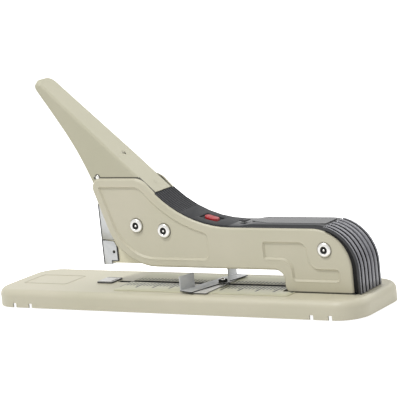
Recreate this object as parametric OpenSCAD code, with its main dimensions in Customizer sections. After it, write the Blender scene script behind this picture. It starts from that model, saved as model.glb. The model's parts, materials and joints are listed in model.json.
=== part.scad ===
// Long-reach heavy-duty stapler: pressed-steel base, hinged arm, hand lever, driver,
// drawer magazine and sliding paper guide. Millimetres, +Z up, +X to the rear, origin
// under the middle of the base at table level.

/* [Base] */
// Length of the base
base_l = 430; // [420:5:460]
// Width of the base
base_w = 103; // [98:1:112]
// Height of the base over the table
base_h = 19; // [17:0.5:24]
// Thickness of the base's sheet
base_sheet = 1.5; // [1:0.1:2]
// Radius of the base's corners in plan
base_corner_r = 27; // [22:1:30]
// Radius along the base's top edge
base_edge_r = 7; // [4:0.5:8]
// Height of the rim over the table
rim_lift = 1; // [0.6:0.1:2]
// Width of a notch in the rim
notch_w = 4; // [2:0.5:5]
// Height of a notch in the rim
notch_h = 4.5; // [2:0.5:5.5]
// Distance between the two notches of a pair
notch_gap = 20; // [14:1:26]
// Distance from the front end to the first front notch
notch_front = 30.5; // [28:0.5:36]
// Distance from the rear end to the first rear notch
notch_rear = 29.5; // [28:0.5:36]
// Distance from the front end to the middle of the front foot
foot_in = 34; // [28:1:45]
// Length of a foot strip along the base
foot_l = 16; // [10:1:22]

/* [Anvil, ruler and slot] */
// Length of the anvil plate
anvil_l = 19; // [16:1:24]
// Width of the anvil plate
anvil_w = 21; // [18:1:30]
// Thickness of the anvil plate
anvil_t = 1.6; // [1:0.1:2.5]
// Depth of the clinching grooves
groove_d = 0.7; // [0.4:0.1:0.9]
// Width of the clinching grooves
groove_w = 1.8; // [1:0.1:3]
// Radius of an anvil screw
anvil_screw_r = 1.5; // [1:0.1:2]
// Width of the ruler plate
ruler_w = 74; // [60:1:76]
// Thickness of the ruler plate
ruler_t = 0.8; // [0.5:0.1:1.2]
// Gap between the anvil and the ruler plate
ruler_gap = 19; // [10:1:20]
// How far the ruler plate runs past the pillar's front
ruler_past = 12; // [6:1:20]
// Width of the guide's slot
slot_w = 5.5; // [4:0.5:6]

/* [Arm] */
// Width over the two side shells
body_w = 40; // [38:1:46]
// Thickness of a side shell
shell_t = 1.6; // [1.2:0.1:2]
// Depth of the pressed panels in the shells
press_d = 0.8; // [0.4:0.1:1]
// Width of plain border round the front panel
panel_border = 8; // [6:0.5:11]
// Width of the turned-in flange under the arm
flange_w = 4; // [3:0.5:6]
// Clear height between the base and the arm
throat_h = 21.5; // [21:0.5:26]
// Clear depth from the nose back to the pillar
throat_d = 217; // [200:1:240]
// Height of the arm
arm_h = 41; // [39:1:44]
// Length of the pillar along the base
pillar_l = 74.5; // [70:0.5:84]
// How far the pillar reaches down into the base's window
pillar_drop = 2.5; // [1.5:0.1:3]
// Distance from the pillar to the rear end of the base
rear_in = 19; // [17:1:24]
// Radius of the arm's rear top corner
rear_r = 40; // [30:1:42]
// Height of the front hump over the arm
hump_h = 48.5; // [44:0.5:54]
// Length of the hump's flat top to its rear corner
hump_l = 64; // [60:1:70]
// Radius at the hump's rear corner
hump_r = 22; // [12:1:26]
// Angle of the hump's rear slope
hump_slope = 48; // [44:1:54]
// Radius of the arm's curve under the nose
chin_r = 58; // [50:1:64]
// Lean of the hump's front edge
chin_lean = 19; // [15:1:22]

/* [Top cover] */
// Wall of the top cover
cover_t = 2.8; // [2:0.1:3.2]
// How far the cover's rear stands out past the shells
cover_back = 8.5; // [6:0.5:10]
// Height of the cover's front part over the shells
cover_low = 1.7; // [1:0.1:3]
// Height of the cover's rear part over the shells
cover_high = 3.4; // [3.2:0.1:5]
// Depth of the cover's side skirts
skirt_d = 8; // [5:0.5:10]
// How far the cover's rear lip stands out past each shell's face
lip_over = 1.5; // [0.5:0.1:2.5]
// Number of ribs between the grooves on the rear lip
rear_ribs = 5; // [4:1:7]
// Width of a groove between the ribs
rib_groove_w = 2.6; // [1:0.1:3]
// Depth of the grooves
rib_groove_d = 1.5; // [0.6:0.1:1.8]
// Number of ribs between the fine grooves on the front slope
front_ribs = 8; // [5:1:10]

/* [Pins] */
// Radius of the three through rivets
rivet_r = 5; // [4:0.5:6]
// Radius of a rivet's head
rivet_head_r = 7.2; // [6.6:0.1:8.4]
// Thickness of a rivet's head
rivet_head_t = 2.2; // [1.5:0.1:3]
// Radius of the hollow in a rivet's head
rivet_hollow_r = 2.6; // [1.5:0.1:3]
// Radial clearance of a pin in its hole
pin_clear = 0.05; // [0.03:0.01:0.08]
// Height of the arm's pivot over the arm's lower edge
pivot_up = 20.6; // [19:0.2:22]
// Distance of the arm's pivot from the pillar's front
pivot_in = 47; // [44:0.5:50]
// Height of the lever's pivot over the nose
lever_pivot_up = 43; // [42:0.5:45]
// Distance from the lever's pivot to the rear head pin
head_pin_in = 32.5; // [31:0.5:36]
// How much lower the rear head pin lies
head_pin_drop = 4.8; // [3:0.2:6]

/* [Lever] */
// Angle of the lever at rest
lever_tilt = 41.2; // [38:0.2:44]
// Length of the lever from its pivot
lever_l = 181; // [160:1:195]
// Height of the lever's top over its pivot
lever_top = 41.2; // [40:0.2:43]
// Depth of the lever at its tip
lever_tip_d = 6.5; // [5:0.5:9]
// Width of the lever between the shells
lever_w = 34.4; // [33.6:0.1:34.6]
// Width of the lever at its tip
lever_tip_w = 28; // [24:0.5:32]
// Thickness of the lever's sheet
lever_t = 2; // [1.6:0.1:2.4]
// Travel of the lever in degrees
lever_travel = 33; // [30:0.5:34]

/* [Driver and magazine] */
// Width of a staple's crown
staple_w = 13; // [12:0.2:13.4]
// Longest staple leg
staple_leg = 24; // [20:0.5:24]
// Thickness of the driver blade
driver_t = 1; // [0.8:0.1:1.2]
// Distance from the lever's pivot to the drive pin
drive_r = 44; // [40:0.5:48]
// Radius of the drive pin
drive_pin_r = 2.5; // [2:0.1:2.8]
// Thickness of the nose and magazine sheets
nose_sheet = 1.2; // [1:0.1:1.4]
// Length of the staple rail
rail_l = 108; // [96:1:112]
// Length of the pusher
pusher_l = 18; // [14:1:24]
// Radius of the pusher's guide rod
rod_r = 1.5; // [1:0.1:1.8]

/* [Release button] */
// Length of the release button
button_l = 14; // [12:0.5:15]
// Width of the release button
button_w = 10; // [8:0.5:12]
// Distance of the button behind the nose
button_in = 130; // [128:0.5:132]
// Travel of the button
button_travel = 2.5; // [1.5:0.1:2.8]

/* [Paper guide] */
// Distance of the guide's screw in front of the pillar
guide_in = 82; // [70:0.5:110]
// Turn of the guide as it stands
guide_turn = 15; // [0:1:16]
// Width of the near upright stop
stop_w = 19.5; // [14:0.5:21]
// Width of the far upright stop
far_stop_w = 12; // [8:0.5:18]
// Height of the upright stops
stop_h = 14; // [10:0.5:15]
// Distance of the stops in front of the screw
stop_in = 15; // [12:0.5:17]
// Thickness of the guide's sheet
guide_t = 1.2; // [0.8:0.1:1.5]
// Radius of the guide's screw
guide_screw_r = 2; // [1.5:0.1:2.2]

/* [Hidden] */
$fn = 48;
eps = 0.01;
arc_step = 7.5;

// Places along the stapler, from the rear end of the base
pillar_back = base_l / 2 - rear_in;
pillar_x = pillar_back - pillar_l;
nose_x = pillar_x - throat_d;
// Levels, from the table up
base_under = base_h - base_sheet;
arm_z = base_h + throat_h;
arm_top = arm_z + arm_h;
hump_top = arm_top + hump_h;
pillar_z = base_h - pillar_drop;
nose_z = arm_z - 1.5;
ruler_z = base_h + ruler_t;
// Layers across the stapler, as distances from its middle plane
shell_in = body_w / 2 - shell_t;
cover_y = shell_in - 0.2;
cheek_out = lever_w / 2;
cheek_in = cheek_out - lever_t;
side_clear = 0.2;
staple_clear = 0.5;
rail_y = staple_w / 2 - 0.9;
channel_in = staple_w / 2 + staple_clear;
channel_out = channel_in + nose_sheet;
frame_out = channel_out + nose_sheet;
driver_y = staple_w / 2 - side_clear;
// Pivots
arm_pivot = [pillar_x + pivot_in, arm_z + pivot_up];
drive_end_r = drive_pin_r + 2;
drive_clear = 0.5;
blade_x = nose_x + nose_sheet + 0.3;
blade_back = blade_x + driver_t;
lever_pivot = [blade_back + drive_clear + drive_end_r + drive_r, nose_z + lever_pivot_up];
head_pin = [lever_pivot.x + head_pin_in, lever_pivot.y - head_pin_drop];
// Closing of the arm: the nose comes down until it is a thin sheet away from the anvil
thin_stack = 0.4;
anvil_top = base_h + anvil_t;
nose_reach = arm_pivot.x - nose_x;
nose_drop = arm_pivot.y - nose_z;
close_angle = asin((arm_pivot.y - anvil_top - thin_stack) / norm([nose_reach, nose_drop]))
    - atan2(nose_drop, nose_reach);
strike_x = arm_pivot.x - nose_reach * cos(close_angle) + nose_drop * sin(close_angle)
    + nose_sheet + driver_t;
anvil_ahead = 6.5;
anvil_x = strike_x - anvil_ahead;
anvil_back = anvil_x + anvil_l / 2;
// Magazine levels
rail_z = nose_z + nose_sheet;
rail_top = nose_z + staple_leg;
blade_z = rail_top + 2;
pusher_top = rail_top + 1.3;
roof_z = pusher_top + 0.8;
roof_top = roof_z + nose_sheet;
front_top = rail_top + 1.5;
frame_z = front_top + 0.3;
// Driver: pin positions at rest and at the end of the stroke
carrier_z = roof_top + staple_leg + 0.1;
drive_up = asin((carrier_z + drive_end_r - lever_pivot.y) / drive_r);
drive_pin_at = lever_pivot + drive_r * [-cos(drive_up), sin(drive_up)];
carrier_top = drive_pin_at.y + drive_end_r + 2;
frame_top = carrier_top + 0.6;
stroke = drive_r * (sin(drive_up) - sin(drive_up - lever_travel));
rail_x = blade_back + 0.3;
rail_back = rail_x + rail_l;

// Outlines: corners are [x, z, radius], anticlockwise

function unit(v) = v / norm(v);
function flat(c) = [c[0], c[1]];
function at(list, i) = list[(i + len(list)) % len(list)];

// Points of one rounded corner
function corner(p, c, n) =
    let (
        u = unit(flat(p) - flat(c)),
        v = unit(flat(n) - flat(c)),
        half = acos(u * v) / 2,
        middle = flat(c) + unit(u + v) * c[2] / sin(half),
        from = flat(c) + u * c[2] / tan(half) - middle,
        to = flat(c) + v * c[2] / tan(half) - middle,
        turn = 180 - 2 * half,
        steps = ceil(turn / arc_step)
    )
    c[2] == 0 ? [flat(c)] : [
        for (i = [0 : steps])
            middle + (from * sin(turn * (1 - i / steps)) + to * sin(turn * i / steps)) / sin(turn)
    ];

// Outline with every corner rounded by its own radius
function rounded(list) = [
    for (i = [0 : len(list) - 1]) each corner(at(list, i - 1), list[i], at(list, i + 1))
];

// Corners of the outline moved inwards by d
function inset(list, d) = [
    for (i = [0 : len(list) - 1])
        let (
            c = list[i],
            e1 = unit(flat(c) - flat(at(list, i - 1))),
            e2 = unit(flat(at(list, i + 1)) - flat(c)),
            n1 = [-e1.y, e1.x],
            n2 = [-e2.y, e2.x],
            move = d * (n1 + n2) / (1 + n1 * n2),
            outward = e1.x * e2.y - e1.y * e2.x > 0
        )
        [c[0] + move.x, c[1] + move.y, outward ? max(c[2] - d, 0) : c[2] + d]
];

// A flat shape in X and Z, standing between two planes across Y
module across(y0, y1) {
    translate([0, y1, 0]) rotate([90, 0, 0]) linear_extrude(y1 - y0) children();
}

// A round bar across Y at [x, z]
module bar(at_xz, r, y0, y1) {
    translate([at_xz.x, y0, at_xz.y]) rotate([-90, 0, 0]) cylinder(r = r, h = y1 - y0);
}

// The same thing on both sides of the middle plane
module both_sides() {
    children();
    mirror([0, 1, 0]) children();
}

module box(low, high) {
    translate(low) cube(high - low);
}

// A slot with round ends, from x0 to x1
module long_hole(x0, x1, w) {
    translate([x0 + w / 2, -w / 2]) square([x1 - x0 - w, w]);
    for (x = [x0 + w / 2, x1 - w / 2]) translate([x, 0]) circle(d = w);
}

// A rectangle with rounded corners, by its low and high corner
module pad(low, high, r) {
    polygon(rounded([
        [low.x, low.y, r], [high.x, low.y, r], [high.x, high.y, r], [low.x, high.y, r]
    ]));
}

// Wire along a path: one unbroken tube of six sides. The path never runs along Z.
wire_sides = 6;
function ring(path, k, d) =
    let (
        last = len(path) - 1,
        along = unit(path[min(k + 1, last)] - path[max(k - 1, 0)]),
        n = unit(cross(along, [0, 0, 1])),
        b = cross(along, n)
    )
    [for (s = [0 : wire_sides - 1])
        path[k] + d / 2 * (n * cos(360 * s / wire_sides) + b * sin(360 * s / wire_sides))];

module wire(path, d) {
    last = len(path) - 1;
    polyhedron(
        points = [for (k = [0 : last]) each ring(path, k, d)],
        faces = [
            for (s = [1 : wire_sides - 2]) [0, s, s + 1],
            for (s = [1 : wire_sides - 2]) [for (i = [0, s + 1, s]) last * wire_sides + i],
            for (k = [0 : last - 1], s = [0 : wire_sides - 1])
                let (a = k * wire_sides, b = a + wire_sides, t = (s + 1) % wire_sides)
                each [[a + s, b + s, a + t], [a + t, b + s, b + t]]
        ]
    );
}

curl_rings = 8;
function coil(r, pitch, turns, start) = [
    for (i = [0 : round(turns * curl_rings)])
        let (a = start + 360 * turns * i / round(turns * curl_rings))
        [r * cos(a), r * sin(a), pitch * turns * i / round(turns * curl_rings)]
];

// Coil with a straight leg at each end; the legs reach the points first and last,
// given flat round the coil's axis
function leg_start(r, p) = atan2(p.y, p.x) + atan2(sqrt(p * p - r * r), r);
function leg_end(r, p) = atan2(p.y, p.x) - atan2(sqrt(p * p - r * r), r);
function legged_coil(r, pitch, curls, first, last) =
    let (
        a0 = leg_start(r, first),
        a1 = leg_end(r, last),
        rest = a1 - a0 - 360 * floor((a1 - a0) / 360),
        turns = curls + rest / 360
    )
    concat([[first.x, first.y, 0]], coil(r, pitch, turns, a0), [[last.x, last.y, pitch * turns]]);

// Base

window_front = pillar_x - 3;
window_back = pillar_back + (arm_pivot.y - pillar_z) * sin(close_angle) + 1.5;
window_y = body_w / 2 + 1.5;
slot_front = anvil_back + 2.5;
slot_back = pillar_x - 7.5;

module rim_section(w, h, r) {
    translate([-w / 2, 0]) square([w, h - r]);
    translate([r - w / 2, 0]) square([w - 2 * r, h]);
    for (s = [-1, 1]) translate([s * (w / 2 - r), h - r]) circle(r);
}

module corner_section(w, h, r) {
    square([w / 2, h - r]);
    square([w / 2 - r, h]);
    translate([w / 2 - r, h - r]) circle(r);
}

module pan_block(l, w, h, rc, r) {
    translate([rc - l / 2, 0, 0]) rotate([90, 0, 90]) linear_extrude(l - 2 * rc) rim_section(w, h, r);
    translate([0, w / 2 - rc, 0]) rotate([90, 0, 0]) linear_extrude(w - 2 * rc) rim_section(l, h, r);
    for (x = [-1, 1], y = [-1, 1])
        translate([x * (l / 2 - rc), y * (w / 2 - rc), 0]) rotate_extrude() corner_section(2 * rc, h, r);
}

module anvil_screw_places() {
    for (y = [-1, 1]) translate([anvil_x - anvil_l / 4, y * anvil_w / 4, 0]) children();
}

module window_shape() {
    pad([window_front, -window_y], [window_back, window_y], 3);
}

notch_places = [notch_front - base_l / 2, base_l / 2 - notch_rear - notch_gap];
module base_pan() {
    pan_h = base_h - rim_lift;
    t = base_sheet;
    color("#b9b3a0") difference() {
        translate([0, 0, rim_lift]) pan_block(base_l, base_w, pan_h, base_corner_r, base_edge_r);
        translate([0, 0, rim_lift - eps])
            pan_block(base_l - 2 * t, base_w - 2 * t, pan_h - t + eps, base_corner_r - t, base_edge_r - t);
        translate([0, 0, base_under - 1]) linear_extrude(t + 2) {
            window_shape();
            long_hole(slot_front, slot_back, slot_w);
        }
        anvil_screw_places() translate([0, 0, base_under - 1])
            cylinder(r = anvil_screw_r + pin_clear, h = t + 2);
        for (x = notch_places, n = [0, notch_gap], s = [-1, 1])
            translate([x + n, s * base_w / 2, rim_lift])
                cube([notch_w, 4 * t, 2 * notch_h], center = true);
    }
}

module front_foot() {
    x = foot_in - base_l / 2;
    y = base_w / 2 - base_corner_r;
    color("#2b2b2b") box([x - foot_l / 2, -y, 0], [x + foot_l / 2, y, base_under]);
}

module rear_foot() {
    y = base_w / 2 - base_corner_r;
    color("#2b2b2b") box([arm_pivot.x - foot_l / 2, -y, 0], [arm_pivot.x + foot_l / 2, y, bracket_z]);
}

module anvil_plate() {
    color("#c9cbcc") difference() {
        translate([0, 0, base_h]) linear_extrude(anvil_t)
            pad([anvil_x - anvil_l / 2, -anvil_w / 2], [anvil_back, anvil_w / 2], 2);
        for (s = [-1, 1])
            translate([strike_x - groove_w / 2, s * staple_w / 4, anvil_top + clinch_r - groove_d])
                rotate([0, 90, 0]) cylinder(r = clinch_r, h = groove_w);
        anvil_screw_places() translate([0, 0, base_h - 1])
            cylinder(r = anvil_screw_r + pin_clear, h = anvil_t + 2);
    }
}
clinch_r = (pow(staple_w / 4, 2) + groove_d * groove_d) / (2 * groove_d);

module anvil_screws() {
    nut_h = 2.2;
    color("#d5d6d6") anvil_screw_places() {
        translate([0, 0, base_under - 2 * nut_h])
            cylinder(r = anvil_screw_r, h = anvil_top - base_under + 2 * nut_h);
        translate([0, 0, base_under - nut_h]) cylinder(r = 2 * anvil_screw_r, h = nut_h);
    }
}

module ruler_plate() {
    color("#c3c7b4") translate([0, 0, base_h]) linear_extrude(ruler_t) difference() {
        pad([anvil_back + ruler_gap, -ruler_w / 2], [pillar_x + ruler_past, ruler_w / 2], 3);
        window_shape();
        long_hole(slot_front, slot_back, slot_w);
    }
}

bracket_t = 3;
bracket_top = arm_pivot.y - pivot_in * sin(close_angle)
    - (arm_pivot.y - pillar_z) * cos(close_angle) - 0.8;
bracket_z = bracket_top - bracket_t;
washer_t = 1.2;
ear_out = shell_in - washer_t;
ear_in = ear_out - bracket_t;
ear_r = 12;

module pivot_bracket() {
    foot_y = base_w / 2 - base_corner_r + 8;
    rim_y = window_y + 1;
    color("#9a9b98") difference() {
        union() {
            translate([pillar_x - 5, 0, 0]) rotate([90, 0, 90]) linear_extrude(pillar_l)
                polygon([
                    [-foot_y, base_under], [-rim_y, base_under], [-rim_y, bracket_top],
                    [rim_y, bracket_top], [rim_y, base_under], [foot_y, base_under],
                    [foot_y, base_under - bracket_t], [rim_y + 2, base_under - bracket_t],
                    [rim_y + 2, bracket_z], [-rim_y - 2, bracket_z],
                    [-rim_y - 2, base_under - bracket_t], [-foot_y, base_under - bracket_t]
                ]);
            both_sides() across(ear_in, ear_out) {
                polygon([
                    [arm_pivot.x - 21, bracket_z], [arm_pivot.x + 17, bracket_z],
                    [arm_pivot.x + ear_r, arm_pivot.y], [arm_pivot.x - ear_r, arm_pivot.y]
                ]);
                translate(arm_pivot) circle(ear_r);
            }
        }
        bar(arm_pivot, rivet_r + pin_clear, -body_w, body_w);
    }
}

// Arm: shells and cover

hump_front = nose_x - 1.6;
hump_foot = hump_front + hump_l + hump_h / tan(hump_slope);
slope_r = (hump_h / sin(hump_slope) - hump_r * tan(hump_slope / 2) - 0.8) / tan(hump_slope / 2);
shell_outline = [
    [hump_front, hump_top, 10],
    [hump_front + (hump_top - arm_z) * tan(chin_lean), arm_z, chin_r],
    [pillar_x, arm_z, 10],
    [pillar_x, pillar_z, 6],
    [pillar_back, pillar_z, 1.5],
    [pillar_back, arm_top, rear_r],
    [hump_foot, arm_top, slope_r],
    [hump_front + hump_l, hump_top, hump_r]
];
// Where the pressed panels stand
panel_back = hump_foot + 29;
boss_r = 20;
recess_front = pillar_x - 20.5;
recess_border = 9.5;
recess_low = base_h + 11;

module front_panel() {
    o = shell_outline;
    polygon(rounded(inset([
        o[0], o[1], [panel_back + panel_border, arm_z, panel_border + 3],
        [panel_back + panel_border, arm_top - 2, panel_border + 5],
        [hump_foot, arm_top - 2, slope_r], o[7]
    ], panel_border)));
}

module rear_panel() {
    difference() {
        polygon(rounded([
            [recess_front, arm_z + recess_border, 2],
            [pillar_x + recess_border, arm_z + recess_border, 8],
            [pillar_x + recess_border, recess_low, 3],
            [pillar_back - 15, recess_low, 4],
            [pillar_back - 15, arm_pivot.y - boss_r + 4, 3],
            [arm_pivot.x - boss_r, arm_pivot.y - boss_r + 4, 3],
            [arm_pivot.x - boss_r, arm_top - 12.5, 5],
            [recess_front, arm_top - 12.5, 4]
        ]));
        translate(arm_pivot) circle(boss_r);
    }
}

module shell() {
    difference() {
        union() {
            across(-body_w / 2, -shell_in) polygon(rounded(shell_outline));
            across(-body_w / 2, flange_w - shell_in) intersection() {
                difference() {
                    polygon(rounded(shell_outline));
                    polygon(rounded(inset(shell_outline, shell_t)));
                }
                translate([shell_outline[1].x + chin_r, pillar_z + 8])
                    square([pillar_x + 5 - shell_outline[1].x - chin_r, throat_h]);
            }
            across(-shell_in, press_d - shell_in) {
                front_panel();
                rear_panel();
            }
        }
        across(-body_w / 2 - 1, press_d - body_w / 2) {
            front_panel();
            rear_panel();
        }
        for (p = [lever_pivot, head_pin, arm_pivot]) bar(p, rivet_r + pin_clear, -body_w, 0);
    }
}

module right_shell() {
    color("#bdb7a3") shell();
}

module left_shell() {
    color("#bdb7a3") mirror([0, 1, 0]) shell();
}

// The cover's outline is closed far below it and in front of it
cover_x = pillar_back + cover_back;
cover_rise = 0.3;
cover_foot = hump_foot - (cover_low - cover_rise / cos(hump_slope)) / tan(hump_slope);
cover_tip = 120;
step_in = 66;
cover_step = hump_foot + step_in;
cover_low_z = arm_top + cover_low;
cover_high_z = arm_top + cover_high;
cover_end_z = base_h + 0.4;
cover_outline = [
    [cover_foot - cover_tip, cover_low_z + cover_tip * tan(hump_slope), 0],
    [cover_foot - cover_tip, -100, 0],
    [cover_x, -100, 0],
    [cover_x, cover_high_z, rear_r + cover_high],
    [cover_step + 12, cover_high_z, 12],
    [cover_step, cover_low_z, 12],
    [cover_foot, cover_low_z, slope_r]
];
lever_web_end = -4;
cover_front = lever_pivot.x + lever_web_end * cos(lever_tilt) + lever_top * sin(lever_tilt) + 1.4;
// Level of the cover's top on its front slope
slope_end = cover_foot + slope_r * tan(hump_slope / 2);
function cover_level(x) = cover_low_z + slope_r - sqrt(pow(slope_r, 2) - pow(slope_end - x, 2));

// Stretch of the cover's outer skin, d deep, from x0 to x1; a cut also reaches out over it
module cover_skin(d, x0, x1, over = 0) {
    intersection() {
        difference() {
            polygon(rounded(inset(cover_outline, -over)));
            polygon(rounded(inset(cover_outline, d)));
        }
        translate([x0, cover_end_z]) square([x1 - x0, hump_top]);
    }
}

button_x = nose_x + button_in;
button_clear = 0.3;
module button_shape(more) {
    pad([button_x - button_l / 2 - more, -button_w / 2 - more],
        [button_x + button_l / 2 + more, button_w / 2 + more], 4);
}

// The skirts run between the shells; the ribbed lip at the rear reaches out past them
skirt_t = 2;
rear_skirt_d = 10;
lip_y = body_w / 2 + lip_over;
lip_front = pillar_back - 26;
lip_edge = 4;
slope_edge = 2.5;
slope_groove_l = 27;
button_rim = 3;

// Grooves along the cover, one before and after each of n ribs, inside a half width
module grooves(n, half, w) {
    for (i = [0 : n]) {
        y = (2 * i / n - 1) * half;
        across(y - w / 2, y + w / 2) children();
    }
}

module top_cover() {
    color("#2d2e30") difference() {
        union() {
            across(-cover_y, cover_y) cover_skin(cover_t, cover_front, cover_x);
            across(-lip_y, lip_y) cover_skin(cover_t, lip_front, cover_x);
            both_sides() across(cover_y - skirt_t, cover_y) {
                cover_skin(skirt_d, cover_front, cover_x);
                cover_skin(rear_skirt_d, lip_front, cover_x);
            }
        }
        grooves(rear_ribs, lip_y - lip_edge, rib_groove_w)
            cover_skin(rib_groove_d, lip_front, cover_x + 1, 1);
        grooves(front_ribs, cover_y - slope_edge, rib_groove_w / 2)
            cover_skin(rib_groove_d / 3, cover_front - 1, cover_front + slope_groove_l, 1);
        across(-button_w / 2 - button_rim, button_w / 2 + button_rim)
            cover_skin(rib_groove_d, button_x - button_l / 2 - button_rim,
                button_x + button_l / 2 + button_rim, 1);
        translate([0, 0, arm_top - cover_t]) linear_extrude(hump_h) button_shape(button_clear);
    }
}

// Rivets across the arm, with hollow heads seated at y

module rivet(p, y) {
    difference() {
        union() {
            bar(p, rivet_r, -y, y);
            both_sides() bar(p, rivet_head_r, y, y + rivet_head_t);
        }
        both_sides() bar(p, rivet_hollow_r, y - 2, y + rivet_head_t + 1);
    }
}

module lever_rivet() {
    color("#d4d5d4") rivet(lever_pivot, body_w / 2 - press_d);
}

module head_rivet() {
    color("#d4d5d4") rivet(head_pin, body_w / 2 - press_d);
}

module arm_rivet() {
    color("#d4d5d4") rivet(arm_pivot, body_w / 2);
}

spacer_r = rivet_r + 2;
module tube(p, r, y0, y1) {
    difference() {
        bar(p, r, y0, y1);
        bar(p, rivet_r + pin_clear, y0 - 1, y1 + 1);
    }
}

module head_spacers() {
    color("#8d9092") both_sides() tube(head_pin, spacer_r, frame_out, shell_in - press_d);
}

module pivot_spacer() {
    color("#8d9092") tube(arm_pivot, spacer_r, 0.1 - ear_in, ear_in - 0.1);
}

module pivot_washers() {
    color("#e4e2d8") both_sides() tube(arm_pivot, 2 * rivet_r, ear_out, shell_in);
}

// Head and magazine

module frame_side() {
    polygon([
        [nose_x, frame_z], [head_pin.x + 15, frame_z], [head_pin.x + 15, head_pin.y + 8],
        [lever_pivot.x + 14, head_pin.y + 14], [lever_pivot.x - 14, frame_top], [nose_x, frame_top]
    ]);
}

module head_frame() {
    color("#a9acad") difference() {
        union() {
            both_sides() across(channel_out, frame_out) frame_side();
            box([nose_x, -frame_out, frame_z], [nose_x + nose_sheet, frame_out, frame_top]);
        }
        for (p = [lever_pivot, head_pin]) bar(p, rivet_r + pin_clear, -body_w, body_w);
    }
}

channel_z = nose_z + 1.5;
channel_x = blade_back + 1;
channel_back = button_x + 8;
latch_r = 2;
latch_hub = latch_r + 1.8;
retainer_rim = 2;
latch_pivot = [button_x - button_l / 2 - retainer_rim - latch_hub - 0.3, roof_top + 6];
hook_x = button_x - 20.5;

module channel_side() {
    translate([channel_x, channel_z]) square([channel_back - channel_x, roof_top - channel_z]);
    polygon([
        [head_pin.x - 16, roof_top - 1], [head_pin.x + 14, roof_top - 1],
        [head_pin.x + 8, head_pin.y + 7.5], [head_pin.x - 8, head_pin.y + 7.5]
    ]);
    polygon([
        [latch_pivot.x - 8, roof_top - 1], [latch_pivot.x + 8, roof_top - 1],
        [latch_pivot.x + 4, latch_pivot.y + 4], [latch_pivot.x - 4, latch_pivot.y + 4]
    ]);
}

module magazine_channel() {
    color("#bdb7a3") difference() {
        union() {
            both_sides() across(channel_in, channel_out) channel_side();
            box([lever_pivot.x - 17, -channel_out, roof_z], [channel_back, channel_out, roof_top]);
        }
        box([hook_x - 4, -4, roof_z - 1], [hook_x + 7, 4, roof_top + 1]);
        bar(head_pin, rivet_r + pin_clear, -body_w, body_w);
        bar(latch_pivot, latch_r + pin_clear, -body_w, body_w);
    }
}

module latch_pin() {
    color("#d4d5d4") bar(latch_pivot, latch_r, -channel_out, channel_out);
}

// Springs round the pivots; X is along the stapler, Y down, before they are turned upright

module round_pivot(p, y) {
    translate([p.x, y, p.y]) rotate([-90, 0, 0]) children();
}

lever_wire = 1.5;
lever_coil_r = rivet_r + 3.2;
lever_pitch = lever_wire + 0.5;
module lever_spring() {
    web = lever_top - lever_t - lever_wire;
    up = [-15 * cos(lever_tilt) + web * sin(lever_tilt), -15 * sin(lever_tilt) - web * cos(lever_tilt)];
    seat = [head_pin_in - 2, head_pin_drop - spacer_r - lever_wire];
    color("#8f9396") round_pivot(lever_pivot, frame_out + lever_wire / 2 + 0.3)
        wire(legged_coil(lever_coil_r, lever_pitch, 1, seat, up), lever_wire);
    echo(str("lever spring, least gap between curls: ", lever_pitch - lever_wire));
}

arm_wire = 2.2;
arm_floor_leg = 26;
arm_cover_leg = 40;
arm_coil_r = (spacer_r + arm_wire / 2 + 0.2) / cos(180 / curl_rings);
arm_pitch = arm_wire + 0.6;
module arm_spring() {
    floor_leg = [-arm_floor_leg, arm_pivot.y - bracket_top - arm_wire];
    cover_leg = [-arm_cover_leg, arm_pivot.y - (cover_high_z - cover_t) + arm_wire];
    color("#8f9396") round_pivot(arm_pivot, -2 * arm_pitch)
        wire(legged_coil(arm_coil_r, arm_pitch, 3, floor_leg, cover_leg), arm_wire);
    echo(str("arm spring, least gap between curls: ", arm_pitch - arm_wire));
}

// Lever, drawn level with its pivot at the origin and its tip to the front

module on_lever() {
    translate([lever_pivot.x, 0, lever_pivot.y]) rotate([0, lever_tilt, 0]) children();
}

lever_neck = -62;
cheek_stop = [19, 19.5];
cross_pin_at = [-64, 9];
cross_pin_r = 2.2;
lever_side = [
    [-lever_l, lever_top - lever_tip_d, 3],
    [-99, 15.2, 150],
    [-60, -1.5, 25],
    [-6, -15, 10],
    [15, -10, 10],
    [cheek_stop.x, cheek_stop.y, 4],
    [lever_web_end, lever_top, 0],
    [-lever_l, lever_top, 3]
];

module lever_plan(less) {
    polygon(rounded([
        [less - lever_l, less - lever_tip_w / 2, 9 - less],
        [lever_neck, less - lever_w / 2, 0],
        [60, less - lever_w / 2, 0],
        [60, lever_w / 2 - less, 0],
        [lever_neck, lever_w / 2 - less, 0],
        [less - lever_l, lever_tip_w / 2 - less, 9 - less]
    ]));
}

module lever_channel() {
    color("#bdb7a3") on_lever() difference() {
        intersection() {
            across(-lever_w, lever_w) polygon(rounded(lever_side));
            translate([0, 0, -30]) linear_extrude(lever_top + 60) lever_plan(0);
        }
        translate([0, 0, -30]) linear_extrude(lever_top + 30 - lever_t) lever_plan(lever_t);
        bar([0, 0], rivet_r + pin_clear, -lever_w, lever_w);
        bar(cross_pin_at, cross_pin_r + pin_clear, -lever_w, lever_w);
        for (x = web_rivets) translate([x, 0, 0]) cylinder(r = web_rivet_r, h = lever_top + 1);
    }
}

web_rivets = [-61, -14.4];
web_rivet_r = 3.2;
strap_t = 2;
strap_z = lever_top - lever_t - strap_t;
drive_y = 3;
hub_wall = 5.5;
hub_r = rivet_r + hub_wall;
// The drive pin seen from the level lever
drive_pin_local = drive_r * [-cos(drive_up - lever_tilt), sin(drive_up - lever_tilt)];

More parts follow.
